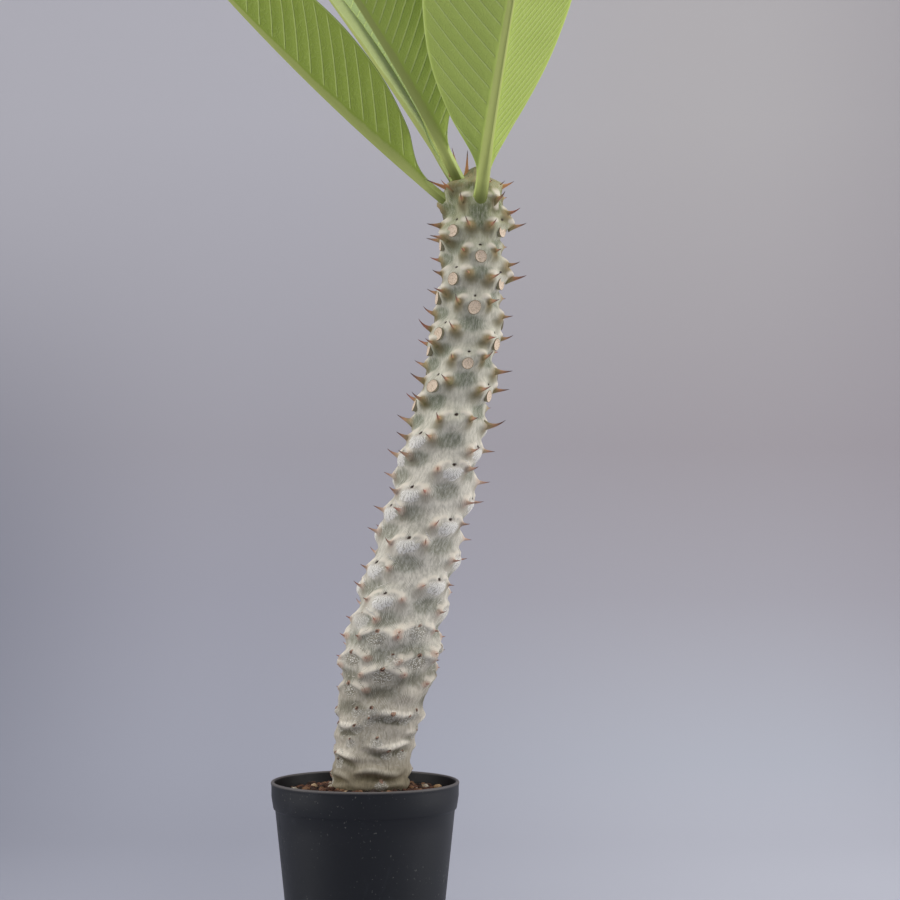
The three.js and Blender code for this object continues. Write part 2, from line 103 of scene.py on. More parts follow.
lip_middle = (RIM_RADIUS - LIP, POT_HEIGHT - LIP)
lip_turns = [math.radians(a) for a in range(0, 181, 20)]
pot_profile = [
    (0.5, 0.5),
    (30.5, 0.5),
    (31.1, 0.1),
    (31.8, 0),
    (34.6, 0),
    (35.5, 0.35),
    (35.95, 1.1),
    (wall_radius(2), 2),
    (wall_radius(20), 20),
    (wall_radius(40), 40),
    (wall_radius(58), 58),
    (wall_radius(COLLAR_FOOT - 0.25), COLLAR_FOOT - 0.25),
    (wall_radius(COLLAR_FOOT) + 0.12, COLLAR_FOOT),
    (wall_radius(COLLAR_FOOT) + COLLAR_STEP + 0.05, COLLAR_FOOT + 0.55),
    (wall_radius(COLLAR_FOOT) + COLLAR_STEP + 0.22, COLLAR_FOOT + 0.95),
    (RIM_RADIUS - 0.3, 73),
    (RIM_RADIUS - 0.28, POT_HEIGHT - 2.6),
    (RIM_RADIUS - 0.2, POT_HEIGHT - 1.7),
    *[
        (lip_middle[0] + LIP * math.cos(turn), lip_middle[1] + LIP * math.sin(turn))
        for turn in lip_turns
    ],
    (RIM_RADIUS - LIP * 1.9, POT_HEIGHT - 2.2),
    (wall_radius(COLLAR_FOOT) - WALL + 0.5, COLLAR_FOOT + 4),
    (wall_radius(COLLAR_FOOT) - WALL, COLLAR_FOOT),
    (wall_radius(40) - WALL, 40),
    (wall_radius(4) - WALL, 4.2),
    (FOOT_RADIUS - WALL - 0.4, 2.6),
    (FOOT_RADIUS - WALL - 1.4, 2),
    (30, 2),
    (0.5, 2),
]
pot = lathe("nursery_pot", pot_profile, POT_SIDES)

DRAIN_COUNT = 6
DRAIN_RADIUS = 3
DRAIN_CIRCLE = 22
for i in range(DRAIN_COUNT):
    turn = i * 2 * math.pi / DRAIN_COUNT
    bpy.ops.object.select_all(action="DESELECT")
    bpy.ops.mesh.primitive_cylinder_add(
        vertices=24,
        radius=DRAIN_RADIUS * MM,
        depth=8 * MM,
        location=(DRAIN_CIRCLE * math.cos(turn) * MM, DRAIN_CIRCLE * math.sin(turn) * MM, 0),
    )
    drill = bpy.context.object
    pick(pot)
    cut = pot.modifiers.new("drain_hole", "BOOLEAN")
    cut.operation = "DIFFERENCE"
    cut.solver = "EXACT"
    cut.object = drill
    bpy.ops.object.modifier_apply(modifier=cut.name)
    bpy.data.objects.remove(drill)


class Reading:
    """One socket of a finish. Sums on it add Math nodes."""

    def __init__(self, finish, socket):
        self.finish = finish
        self.socket = socket

    def __add__(self, other):
        return self.finish.sum("ADD", self, other)

    def __radd__(self, other):
        return self.finish.sum("ADD", other, self)

    def __sub__(self, other):
        return self.finish.sum("SUBTRACT", self, other)

    def __rsub__(self, other):
        return self.finish.sum("SUBTRACT", other, self)

    def __mul__(self, other):
        return self.finish.sum("MULTIPLY", self, other)

    def __rmul__(self, other):
        return self.finish.sum("MULTIPLY", other, self)

    def __truediv__(self, other):
        return self.finish.sum("DIVIDE", self, other)

    def __rtruediv__(self, other):
        return self.finish.sum("DIVIDE", other, self)


class Finish:
    """A material: one Principled shader and the nodes that lead to it."""

    def __init__(self, name, roughness, **constants):
        self.material = bpy.data.materials.new(name)
        self.material.use_nodes = True
        self.tree = self.material.node_tree
        self.shader = self.tree.nodes["Principled BSDF"]
        self.shader.inputs["Roughness"].default_value = roughness
        for socket, value in constants.items():
            self.shader.inputs[socket.replace("_", " ")].default_value = value

    def node(self, kind, settings=None, sockets=None, output=0):
        """Any node: its type, its settings, the values or links of its sockets, one output."""
        made = self.tree.nodes.new("ShaderNode" + kind)
        for setting, value in (settings or {}).items():
            setattr(made, setting, value)
        for socket, value in (sockets or {}).items():
            if isinstance(value, Reading):
                self.tree.links.new(value.socket, made.inputs[socket])
            else:
                made.inputs[socket].default_value = value
        return Reading(self, made.outputs[output])

    def sum(self, operation, first, second=0.0):
        """One Math node."""
        return self.node("Math", {"operation": operation}, {0: first, 1: second})

    def here(self):
        """The place on the object."""
        return self.node("TexCoord", {}, {}, 3)

    def parts(self, vector):
        return [self.node("SeparateXYZ", {}, {0: vector}, part) for part in range(3)]

    def read(self, name):
        """The parts x, y and z of a vector attribute, after the vector itself."""
        vector = self.node("Attribute", {"attribute_name": name}, output=1)
        return [vector, *self.parts(vector)]

    def number(self, name):
        return self.node("Attribute", {"attribute_name": name}, output=2)

    def reach(self, x, y):
        """How far a flat place is from its centre."""
        flat_place = self.node("CombineXYZ", {}, {0: x, 1: y})
        return self.node("VectorMath", {"operation": "LENGTH"}, {0: flat_place}, 1)

    def grain(self, place, scale, detail=2.0, rough=0.5, distort=0.0):
        """Cloudy noise from 0 to 1 at a place."""
        return self.node(
            "TexNoise",
            {},
            {"Vector": place, "Scale": scale, "Detail": detail, "Roughness": rough,
             "Distortion": distort},
        )

    def stretch(self, place, scale):
        return self.node("VectorMath", {"operation": "MULTIPLY"}, {0: place, 1: scale})

    def step(self, value, low, high):
        """A soft step: 0 where the value is at low, 1 where it is at high."""
        return self.node(
            "MapRange", {"interpolation_type": "SMOOTHSTEP"}, {0: value, 1: low, 2: high}
        )

    def blend(self, share, first, second):
        """One colour over another; plain colours are screen values."""
        first, second = (
            colour if isinstance(colour, Reading) else paint(*colour)
            for colour in (first, second)
        )
        return self.node("Mix", {"data_type": "RGBA"}, {0: share, 6: first, 7: second}, 2)

    def coats(self, base, *layers):
        """Colours laid over each other, each with the share that it covers."""
        for share, colour in layers:
            base = self.blend(share, base, colour)
        return base

    def ramp(self, value, *stops):
        """A colour that changes with a value, through (value, screen colour) stops."""
        made = self.node("ValToRGB", {}, {0: value})
        elements = made.socket.node.color_ramp.elements
        while len(elements) < len(stops):
            elements.new(0.5)
        for element, (place, colour) in zip(elements, stops):
            element.position = place
            element.color = paint(*colour)
        return made

    def lay(self, **links):
        """Link what varies to the shader's sockets."""
        for socket, value in links.items():
            self.tree.links.new(value.socket, self.shader.inputs[socket.replace("_", " ")])

    def bump(self, height, depth, strength=1.0):
        return self.node(
            "Bump", {}, {"Strength": strength, "Distance": depth * MM, "Height": height}
        )


def paint(red, green, blue):
    """A colour from screen values of 0 to 255."""
    def linear(value):
        value = value / 255
        return value / 12.92 if value <= 0.04045 else ((value + 0.055) / 1.055) ** 2.4

    return (linear(red), linear(green), linear(blue), 1.0)


def dress(piece, finish, node):
    """Give a piece its finish and the solid that it stands for."""
    piece.data.materials.clear()
    piece.data.materials.append(finish.material)
    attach(piece, "root")
    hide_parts(node)


plastic = Finish("black_pot_plastic", 0.5, Specular_IOR_Level=0.36)
spot = plastic.here()
cloud = plastic.grain(spot, 26, 3)
smear = plastic.grain(plastic.stretch(spot, (1, 1, 0.45)), 120, 5, 0.62, 0.6)
dust = plastic.step(smear, 0.55, 0.74) * plastic.step(cloud, 0.44, 0.62)
specks = plastic.step(plastic.grain(spot, 700, 2), 0.66, 0.74) * plastic.step(cloud, 0.4, 0.6)
x, y, height = plastic.parts(spot)
lip_wear = plastic.step(height, 0.0786, 0.0797)
# The inner wall above the soil is painted near-black: painted shade inside the pot.
inside = plastic.step(plastic.reach(x, y) - height * 0.104, 0.0359, 0.0354)
inside = inside * plastic.step(height, 0.0797, 0.0791)
body = plastic.coats(
    plastic.blend(cloud, (17, 19, 24), (25, 28, 34)),
    (dust * 0.3, (66, 69, 77)),
    (specks * 0.55, (120, 118, 112)),
    (lip_wear * 0.55, (112, 106, 104)),
    # Painted shade on the inner wall.
    (inside * 0.85, (7, 7, 10)),
)
plastic.lay(
    Base_Color=body,
    Roughness=0.42 + dust * 0.28 + cloud * 0.14,
    Normal=plastic.bump(plastic.grain(spot, 900, 3), 0.05, 0.35),
)
dress(pot, plastic, "pot")

# ----------------------------------------
# The soil: a free-draining mix of baked clay, pumice and bark grit. It is filled in loosely,
# lies a few millimetres under the rim and is heaped a little against the stem.

SOIL_TOP = 74
SOIL_HEAP = 2.4
SOIL_FOOT = 2.4
STEM_GIRTH_AT_SOIL = 17.6
soil_edge = wall_radius(SOIL_TOP) - WALL - 0.5


def heap_height(reach):
    """The height of the soil's top at a distance from the pot's axis."""
    share = min(max((reach - soil_edge * 0.4) / (soil_edge * 0.6), 0), 1)
    return SOIL_TOP + SOIL_HEAP * (1 - share * share * (3 - 2 * share))


top_rings = [soil_edge * (1 - i / 32) for i in range(32)]
bed = lathe(
    "soil_bed",
    [
        (0.5, SOIL_FOOT),
        (FOOT_RADIUS - WALL - 3, SOIL_FOOT),
        (wall_radius(8) - WALL - 0.6, 8),
        (wall_radius(40) - WALL - 0.6, 40),
        (soil_edge, SOIL_TOP - 2.4),
        *[(reach, heap_height(reach) - 1.2) for reach in top_rings],
        (0.5, SOIL_TOP + SOIL_HEAP - 1.2),
    ],
    96,
)
for vertex in bed.data.vertices:
    if vertex.co.z > (SOIL_TOP - 2) * MM:
        lump = noise.fractal(vertex.co * 330, 0.6, 2.0, 3)
        vertex.co.z += lump * 0.9 * MM
bpy.ops.object.shade_smooth()

# Each granule is tumbled and knocked about in its own way: clay, pumice or bark by its colour.
GRANULES = 620
GRANULE_KINDS = [
    ((98, 66, 50), 0.36),
    ((72, 49, 39), 0.24),
    ((130, 96, 70), 0.14),
    ((168, 144, 114), 0.06),
    ((48, 37, 32), 0.16),
    ((188, 178, 158), 0.04),
]
draw = random.Random(41)
stem_foot = Vector((2.6, 0, 0))
granule_places = [
    (34.6, 12.5, 2.1, (192, 158, 118)),
    (28.6, 14.5, 1.7, (188, 176, 158)),
    (24.8, 17.0, 2.0, (126, 84, 58)),
    (31.5, 16.0, 1.5, (120, 82, 60)),
    (37.6, 8.5, 1.4, (140, 104, 74)),
    (-21.4, 14.0, 1.6, (150, 96, 74)),
    (-18.2, 14.8, 1.4, (128, 80, 62)),
    (-24.2, 12.5, 1.2, (96, 62, 50)),
]
while len(granule_places) < GRANULES:
    size = draw.triangular(0.9, 2.5, 1.4)
    turn = draw.uniform(0, 2 * math.pi)
    reach = (soil_edge - size * 0.8) * math.sqrt(draw.random())
    x, y = reach * math.cos(turn), reach * math.sin(turn)
    if math.dist((x, y), stem_foot.xy) < STEM_GIRTH_AT_SOIL + size * 0.4:
        continue
    if any(
        math.dist((x, y), (a, b)) < (size + other) * 0.62
        for a, b, other, _ in granule_places
    ):
        if draw.random() < 0.93:
            continue
    kinds, shares = zip(*GRANULE_KINDS)
    granule_places.append((x, y, size, draw.choices(kinds, shares)[0]))

bpy.ops.object.select_all(action="DESELECT")
bpy.ops.mesh.primitive_uv_sphere_add(segments=8, ring_count=6, radius=MM)
granule = bpy.context.object
granule_points = np.empty(len(granule.data.vertices) * 3)
granule.data.vertices.foreach_get("co", granule_points)
granule_points = granule_points.reshape(-1, 3)
granule_faces = [tuple(face.vertices) for face in granule.data.polygons]
bpy.data.objects.remove(granule)

points, faces, colours = [], [], []
for x, y, size, colour in granule_places:
    squeeze = np.array([draw.uniform(0.8, 1.15), draw.uniform(0.75, 1), draw.uniform(0.6, 0.9)])
    rough = np.array(
        [1 + 0.22 * noise.noise(Vector(p) * 1100 + Vector((x, y, size))) for p in granule_points]
    )
    lump = granule_points * squeeze * size * rough[:, None]
    spin, tilt = draw.uniform(0, 6.28), draw.uniform(-0.6, 0.6)
    lump = lump @ np.array(Euler((tilt, 0, spin)).to_matrix()).T
    lift = heap_height(math.hypot(x, y)) - 0.3 + size * draw.uniform(-0.15, 0.5)
    lump += np.array([x, y, lift]) * MM
    start = len(points)
    points.extend(lump.tolist())
    faces.extend([tuple(start + v for v in face) for face in granule_faces])
    shade = draw.uniform(0.82, 1.15)
    tint = [min(c * shade, 1) for c in paint(*colour)[:3]]
    colours.extend([(*tint, 1.0)] * len(lump))


def closed_piece(name, points, faces):
    """A piece of closed forms, smooth and with all its faces turned outwards."""
    mesh = bpy.data.meshes.new(name)
    mesh.from_pydata(points, [], faces)
    piece = bpy.data.objects.new(name, mesh)
    bpy.context.collection.objects.link(piece)
    pick(piece)
    bpy.ops.object.mode_set(mode="EDIT")
    bpy.ops.mesh.select_all(action="SELECT")
    bpy.ops.mesh.normals_make_consistent(inside=False)
    bpy.ops.object.mode_set(mode="OBJECT")
    bpy.ops.object.shade_smooth()
    return piece


grit = closed_piece("soil_granules", points, faces)
tints = grit.data.attributes.new("tint", "FLOAT_COLOR", "POINT")
tints.data.foreach_set("color", np.array(colours, dtype=np.float32).ravel())

clay = Finish("clay_granules", 0.92, Specular_IOR_Level=0.25)
spot = clay.here()
tint = clay.node("Attribute", {"attribute_name": "tint"}, output=0)
pores = clay.grain(spot, 1500, 4, 0.6)
pits = clay.step(pores, 0.5, 0.32) * 0.75
peaks = clay.step(pores, 0.6, 0.78) * 0.45
crumb = clay.coats(tint, (pits, (44, 32, 26)), (peaks, (190, 170, 146)))
clay.lay(Base_Color=crumb, Normal=clay.bump(pores, 0.25, 0.8))
dress(grit, clay, "soil")

loam = Finish("fine_grit", 0.95, Specular_IOR_Level=0.2)
fines = loam.grain(loam.here(), 900, 5, 0.65)
ground = loam.blend(fines, (40, 28, 22), (96, 68, 50))
loam.lay(Base_Color=ground, Normal=loam.bump(fines, 0.6, 0.9))
dress(bed, loam, "soil")

# ----------------------------------------
# The stem: one thick succulent stem that grew with a lean. Its waxy skin has cracked into fine
# lines as it swelled, each shed leaf has left a cushion with a scar, and the oldest bark next to
# the soil lies in folds. It grew in one piece, so its skin is one closed mesh.

STEM_STATIONS = [
    (36, 2.4, 0), (38, 2.4, 5), (44, 2.4, 11), (54, 2.3, 15.6), (70, 2.5, 17.4),
    (88, 3.3, 17.7), (106, 5.8, 18.8), (123, 9.3, 20.4), (137, 11.8, 21.4), (152, 14.2, 20.6),
    (180, 21.6, 19), (209, 29.8, 17.4), (238, 36.8, 15.4), (266, 43.4, 12.8),
    (295, 48.6, 11.2), (324, 51.4, 10.2), (352, 51.8, 9.8), (362, 51.9, 8.9), (369, 52.3, 7),
    (373.6, 52.6, 4.2), (376, 52.8, 0),
]
STEM_TIP = 376
DEPTH_SWAY = 3
ROOT_TOP = 66
KNOB_TURN = 135
FRONT_AZIMUTH = 12
KNOB_HEIGHTS = [
    (-76, 80), (-51, 130.6), (-40, 151.5), (-24, 200.3), (0, 279.2), (24, 354), (30, 367.5),
    (33, 372),
]
KNOB_TWIST = [(80, 36), (120, 30), (150, 24), (176, 28), (205, 22), (228, 9), (250, 0)]
AGE_HEIGHTS = [78, 110, 130, 152, 190, 235, 290]
# What a knob measures at each age: its two spines' spread, its own lift and height, and how
# long the spines are and how far over the knob they stand.
KNOB_BY_AGE = {
    "spread": [12, 11, 9.6, 8.8, 7.4, 6.2, 5.2],
    "rise": [1.3, 1.6, 3.2, 3.8, 3.7, 3.1, 2.5],
    "tallness": [2.6, 3.4, 4.4, 5.4, 6, 5.6, 4.8],
    "spine": [0, 0, 3.2, 4.8, 7.2, 10, 10.4],
    "spine_up": [0.5, 0.5, 0.4, 0.8, 1.8, 2.3, 2.3],
}
# The fleshy feet of the spines and the cork over the scar, at each age.
FLESH_BY_AGE = {
    "flesh": [0, 0, 1.7, 2.0, 2.9, 4.3, 5.2],
    "foot_wide": [3, 3, 3.6, 3.6, 3.6, 3.6, 3.5],
    "foot_above": [2, 2, 2.4, 2.8, 3.2, 3.8, 3.9],
    "foot_below": [3, 3, 2.8, 3.4, 4.4, 5.2, 5.2],
    "cork_wide": [3, 3, 5.0, 5.0, 5.0, 4.0, 3.3],
    "cork_tall": [3, 3, 3.4, 3.7, 4.0, 3.7, 3.2],
}
FOLD_HEIGHTS = [79, 86.5, 94, 103, 112]
FOLD_LIFT = 1.7


def smooth_through(points, places):
    """Values at some places on the smooth curve through (place, value) points."""
    at = np.array([point[0] for point in points], float)
    value = np.array([point[1] for point in points], float)
    slope = np.empty(len(at))
    slope[1:-1] = (value[2:] - value[:-2]) / (at[2:] - at[:-2])
    slope[0] = (value[1] - value[0]) / (at[1] - at[0])
    slope[-1] = (value[-1] - value[-2]) / (at[-1] - at[-2])
    x = np.clip(np.asarray(places, float), at[0], at[-1])
    i = np.clip(np.searchsorted(at, x, side="left") - 1, 0, len(at) - 2)
    width = at[i + 1] - at[i]
    t = (x - at[i]) / width
    s = 1 - t
    return (
        value[i] * s * s * (1 + 2 * t)
        + value[i + 1] * t * t * (3 - 2 * t)
        + width * (slope[i] * t * s * s - slope[i + 1] * t * t * s)
    )


def soft_step(value, low, high):
    share = np.clip((np.asarray(value, float) - low) / (high - low), 0, 1)
    return share * share * (3 - 2 * share)


def by_age(values, height):
    return smooth_through(list(zip(AGE_HEIGHTS, values)), height)


def stem_lean(height):
    return smooth_through([(h, x) for h, x, _ in STEM_STATIONS], height)


def stem_sway(height):
    share = (np.asarray(height, float) - SOIL_TOP) / (STEM_TIP - SOIL_TOP)
    return DEPTH_SWAY * np.sin(1.5 * math.pi * share)


def stem_radius(height):
    return smooth_through([(h, r) for h, _, r in STEM_STATIONS], height)


def steady_draws(seed):
    """The same draws on every run, from 0 to 1."""
    state = seed
    while True:
        state = (state * 1664525 + 1013904223) % 4294967296
        yield state / 4294967296


# Some knobs grew off the spiral: number, then how far round the stem and how far up it.
KNOB_SHIFTS = {
    21: (0, -2.7), 19: (0, 2.2), 13: (0, -2), 11: (5, 3.2), 8: (-1.5, 1.7), 5: (-13, -2.7),
    3: (6, 0), -3: (-7, -1), -5: (5, 0.8), -8: (0, -2.8), -11: (-11, -0.8), -13: (4, -1.3),
    -19: (-14, 0), -24: (-3, 1.1), -27: (-4, 2.4), -32: (2, -2.3), -35: (-20, 1.2),
    -40: (-4, 0), -43: (-8, 4.2), -48: (-1.5, 1.6), -51: (-3, 1.6),
}

knobs = []
draws = steady_draws(11)
for number in range(33, -77, -1):
    height = float(smooth_through(KNOB_HEIGHTS, number))
    azimuth = FRONT_AZIMUTH + number * KNOB_TURN + float(smooth_through(KNOB_TWIST, height))
    sideways, upwards = KNOB_SHIFTS.get(number, (0, 0))
    azimuth += (next(draws) - 0.5) * 7 + sideways
    knob = {name: float(by_age(values, height)) for name, values in KNOB_BY_AGE.items()}
    knob["azimuth"] = azimuth
    knob["height"] = height + (next(draws) - 0.5) * 1.6 + upwards
    knob["spine"] *= 0.85 + next(draws) * 0.3
    knobs.append(knob)


def turn_between(azimuth, other):
    return (azimuth - other + 540) % 360 - 180


def knob_relief(azimuth, height):
    """How far the knobs and folds lift the skin."""
    azimuth, height = np.asarray(azimuth, float), np.asarray(height, float)
    girth = stem_radius(height) * math.pi / 180
    lift = np.zeros(np.broadcast(azimuth, height).shape)
    for knob in knobs:
        up = (height - knob["height"] - 0.8) / knob["tallness"]
        aside = turn_between(azimuth, knob["azimuth"]) * girth / (knob["spread"] * 0.76)
        lift += np.where(np.abs(up) < 2.4, knob["rise"] * np.exp(-up * up - aside * aside), 0)
    for i, fold in enumerate(FOLD_HEIGHTS):
        wander = 1.4 * np.sin(np.radians(azimuth) + i * 2.1)
        up = (height - fold - wander) / 2.4
        share = 0.6 + 0.4 * np.sin(2 * np.radians(azimuth) + i * 1.3)
        lift += FOLD_LIFT * share * np.exp(-up * up)
    return lift * soft_step(height, ROOT_TOP, SOIL_TOP + 4) * np.minimum(
        1, stem_radius(height) / 9
    )


def stem_point(azimuth, height, reach):
    """A point at some reach from the stem's middle, in millimetres."""
    turn = math.radians(azimuth)
    return Vector((
        float(stem_lean(height)) + reach * math.sin(turn),
        float(stem_sway(height)) - reach * math.cos(turn),
        height,
    ))


def skin_point(azimuth, height, above):
    """A point over the stem's skin with its knobs, before the finer forms."""
    reach = float(stem_radius(height) + knob_relief(azimuth, height))
    return stem_point(azimuth, height, reach + above)


def skin_directions(azimuth, height):
    """Up along the stem's skin, across it, and out of it."""
    turn = math.radians(azimuth)
    across = Vector((math.cos(turn), math.sin(turn), 0))
    low, high = (
        stem_point(azimuth, h, float(stem_radius(h))) for h in (height - 1, height + 1)
    )
    climb = (high - low).normalized()
    return climb, across, across.cross(climb).normalized()


def woven_skin(name, grid):
    """A flat grid that is bent to rows of points."""
    rows, columns, _ = grid.shape
    bpy.ops.object.select_all(action="DESELECT")
    bpy.ops.mesh.primitive_grid_add(x_subdivisions=columns - 1, y_subdivisions=rows - 1)
    skin = bpy.context.object
    skin.name = name
    skin.data.name = name
    skin.data.vertices.foreach_set("co", (grid * MM).astype(np.float32).ravel())
    skin.data.update()
    return skin


def close_skin(skin):
    """Merge the seam, close the ends and turn all faces outwards."""
    pick(skin)
    bpy.ops.object.mode_set(mode="EDIT")
    bpy.ops.mesh.select_all(action="SELECT")
    bpy.ops.mesh.remove_doubles(threshold=0.000002)
    bpy.ops.mesh.select_all(action="DESELECT")
    bpy.ops.mesh.select_non_manifold()
    bpy.ops.mesh.fill_holes(sides=0)
    bpy.ops.mesh.select_all(action="SELECT")
    bpy.ops.mesh.normals_make_consistent(inside=False)
    bpy.ops.object.mode_set(mode="OBJECT")
    bpy.ops.object.transform_apply(location=True, rotation=True, scale=True)
    bpy.ops.object.shade_smooth()


def note(mesh, name, values):
    """Keep a number or three numbers for each point of a mesh."""
    values = np.asarray(values, np.float32)
    vector = values.ndim > 1
    kind = "FLOAT_VECTOR" if vector else "FLOAT"
    kept = mesh.attributes.new(name, kind, "POINT")
    kept.data.foreach_set("vector" if vector else "value", values.ravel())


def rows_of(*parts):
    """Grids of numbers as one row of parts for each point."""
    return np.stack([part.ravel() for part in parts], axis=-1)


STEM_COLUMNS = 216
stem_heights = np.concatenate([
    [36, 36.6, 38, 41, 44, 49, 54, 60, 66],
    np.arange(69, 372, 0.74),
    [372.4, 373.6, 374.6, 375.4, 376],
])
azimuths = np.linspace(0, 360, STEM_COLUMNS + 1)
az, hi = np.meshgrid(azimuths, stem_heights)
girth = stem_radius(hi) * math.pi / 180
fade = soft_step(hi, ROOT_TOP, SOIL_TOP + 4) * np.minimum(1, stem_radius(hi) / 9)
# The knobs stand out less on old bark.
relief = knob_relief(az, hi) * (
    0.55 + 0.25 * soft_step(hi, 112, 130) + 0.2 * soft_step(hi, 225, 265)
)


def swelling(du, dv, wide, above, below, power):
    """A swelling, 1 at its top: rounder the higher its power."""
    tall = np.where(dv > 0, above, below)
    return np.exp(-((du / wide) ** 2 + (dv / tall) ** 2) ** (power / 2))


def peak(marks, rows, share):
    """Raise the marks in some rows to a share, where they are lower."""
    marks[rows] = np.maximum(marks[rows], share)


FAR_AWAY = 9.0
OLDEST_KNOB = 122
pits, pale_and_highlit_tops, warts, feet, foot_shades, shade, folds, patch_kind, extra = np.zeros((9, *az.shape))
patch_x, patch_y = np.full((2, *az.shape), FAR_AWAY)
for knob in knobs:
    age = knob["height"]
    if age < OLDEST_KNOB:
        continue
    rows = np.abs(stem_heights - age) < 18
    du = turn_between(az[rows], knob["azimuth"]) * girth[rows]
    dv = hi[rows] - age
    reach = np.abs(du)
    spread, up = knob["spread"], knob["spine_up"]
    young = float(soft_step(age, 250, 266))
    old = float(1 - soft_step(age, 140, 172))
    grown_out = float(1 - soft_step(age, 357, 368))
    pit_up = 4.2 + 0.7 * young - 1.0 * old
    grown = {name: float(by_age(values, age)) for name, values in FLESH_BY_AGE.items()}
    # The fleshy feet of the two spines: drawn out to a point, worn round on old bark.
    knob["flesh"] = grown_out * grown["flesh"]
    foot_size = [grown[name] for name in ("foot_wide", "foot_above", "foot_below")]
    for side in (-1, 1):
        su, sv = du - side * spread, dv - up
        foot = swelling(su, sv, *foot_size, 1.25 + 0.75 * old)
        extra[rows] += knob["flesh"] * foot
        peak(feet, rows, foot * grown_out)
        # Below each foot the skin is marked for painted shade.
        foot_shade = swelling(su - side * 0.6, sv + 2.6, 3.3, 2.6, 4.2, 1.7)
        peak(foot_shades, rows, foot_shade * grown_out * (1 - 0.6 * old))
        # Above each foot the skin is marked pale: partly pale wax, partly a painted highlight.
        top = swelling(su + side * 1.2, sv - 2.1, 2.5, 2.2, 1.5, 2.4)
        peak(pale_and_highlit_tops, rows, top * grown_out)
        extra[rows] += 1.3 * young * grown_out * top
    # A ridge arches from the bud's pit to each foot; old ones droop like shoulders.
    share = np.minimum(reach / spread, 1.4)
    arch = pit_up + 1.5 * np.sin(math.pi * np.minimum(share / 1.1, 1)) - (pit_up - up) * share ** 2
    arch = arch * (1 - old) + old * (pit_up + 0.4 - (pit_up + 0.8) * share ** 1.5)
    brow = np.exp(-(np.where(
        dv > arch, (dv - arch) / (1.9 + 1.7 * old), (dv - arch) / (0.95 + 0.35 * old)
    )) ** 2)
    brow *= 1 - soft_step(reach, spread * (0.95 - 0.15 * old), spread * (1.5 - 0.25 * old))
    brow *= 0.3 + 0.7 * soft_step(reach, 0.5, 2.2)
    extra[rows] += (1.0 + 0.4 * old - 0.5 * young) * brow * grown_out
    shoulder = 1 - old * (1 - soft_step(share, 0.12, 0.4) * (1 - soft_step(share, 0.7, 1.0)))
    # The brows are marked pale as well: partly pale wax, partly a painted highlight.
    peak(pale_and_highlit_tops, rows, (0.85 - 0.5 * young) * brow * grown_out * shoulder)
    # The bud's pit over the scar, a small wart on old bark.
    pit_wide = 0.95 - 0.28 * young + 0.25 * old
    pit = np.exp(-((du / (pit_wide * 1.15)) ** 2 + ((dv - pit_up) / pit_wide) ** 2))
    extra[rows] += (1.9 * old - 1.0) * pit * grown_out
    peak(pits, rows, pit * (1 - old) * grown_out)
    peak(warts, rows, pit * old)
    # A crust of cork over the old scar, white and cracked outwards from the pit.
    px = du / grown["cork_wide"]
    py = (dv - 0.3 + 0.9 * young + 0.9 * old) / grown["cork_tall"]
    nearer = px ** 2 + py ** 2 < patch_x[rows] ** 2 + patch_y[rows] ** 2
    patch_x[rows] = np.where(nearer, px, patch_x[rows])
    patch_y[rows] = np.where(nearer, py, patch_y[rows])
    patch_kind[rows] = np.where(nearer, 1 + old if not young else 0, patch_kind[rows])
    cushion = np.exp(-(px ** 2 + py ** 2) ** 2)
    extra[rows] += (0.3 * young + 0.9 * (1 - young) * (1 - old) - 0.7 * old) * cushion
    # A fresh scar lies flat, in a low rim of skin.
    out = np.hypot(du, dv + 0.7)
    level = du ** 2 / (2 * np.maximum(stem_radius(hi[rows]), 5)) * np.exp(-(out / 3.7) ** 6)
    rim = 0.55 * np.exp(-((out - 3.8) / 0.7) ** 2) * (dv < 4)
    extra[rows] += young * grown_out * (level + rim)
    # Under each cushion the skin is smooth and sunk, and marked grey-green: partly greener skin,
    # partly painted shade.
    under = np.exp(-np.abs((dv + 8.2) / 4.0) ** 2.4 - np.abs(du / (spread * 1.15)) ** 2.6)
    peak(shade, rows, under * (1 - 0.3 * old))
    extra[rows] -= (0.9 - 0.5 * old) * under

# Two marks of their own by the front petiole: a smooth pale cushion, partly a painted highlight,
# and a green dip, partly painted shade.
du, dv = turn_between(az, 45) * girth, hi - 356.5
mark = np.exp(-((du / 2.1) ** 4 + (dv / 5.6) ** 4))
extra += 0.7 * mark
pale_and_highlit_tops = np.maximum(pale_and_highlit_tops * (1 - mark), mark)
du, dv = turn_between(az, 8) * girth, hi - 349
shade = np.maximum(shade, np.exp(-((du / 3.5) ** 4 + (dv / 6) ** 4)))

# The oldest bark: folds that run part of the way round, as azimuth, height, half their reach
# round the stem, tilt and lift; and small brown warts, as azimuth, height and size.
OLD_FOLDS = [
    (21, 112.8, 31, 0.0, 1.5), (-47, 107.4, 22, -0.05, 1.4), (26, 97.7, 36, 0.01, 1.8),
    (-42, 93.0, 21, -0.06, 1.7), (14, 85.2, 38, -0.01, 2.1), (-54, 83.2, 22, -0.04, 1.6),
    (58, 104.0, 16, 0.05, 0.6), (96, 109.5, 26, 0.03, 1.4), (150, 114.0, 30, -0.02, 1.3),
    (212, 108.6, 26, 0.02, 1.5), (262, 113.5, 22, 0.0, 1.2), (118, 95.2, 32, -0.02, 1.5),
    (186, 98.8, 30, 0.03, 1.4), (246, 94.6, 28, -0.03, 1.6), (104, 84.4, 34, 0.02, 1.6),
    (172, 87.8, 30, -0.02, 1.5), (236, 83.6, 32, 0.02, 1.7), (0, 78.6, 150, 0.0, 0.7),
]
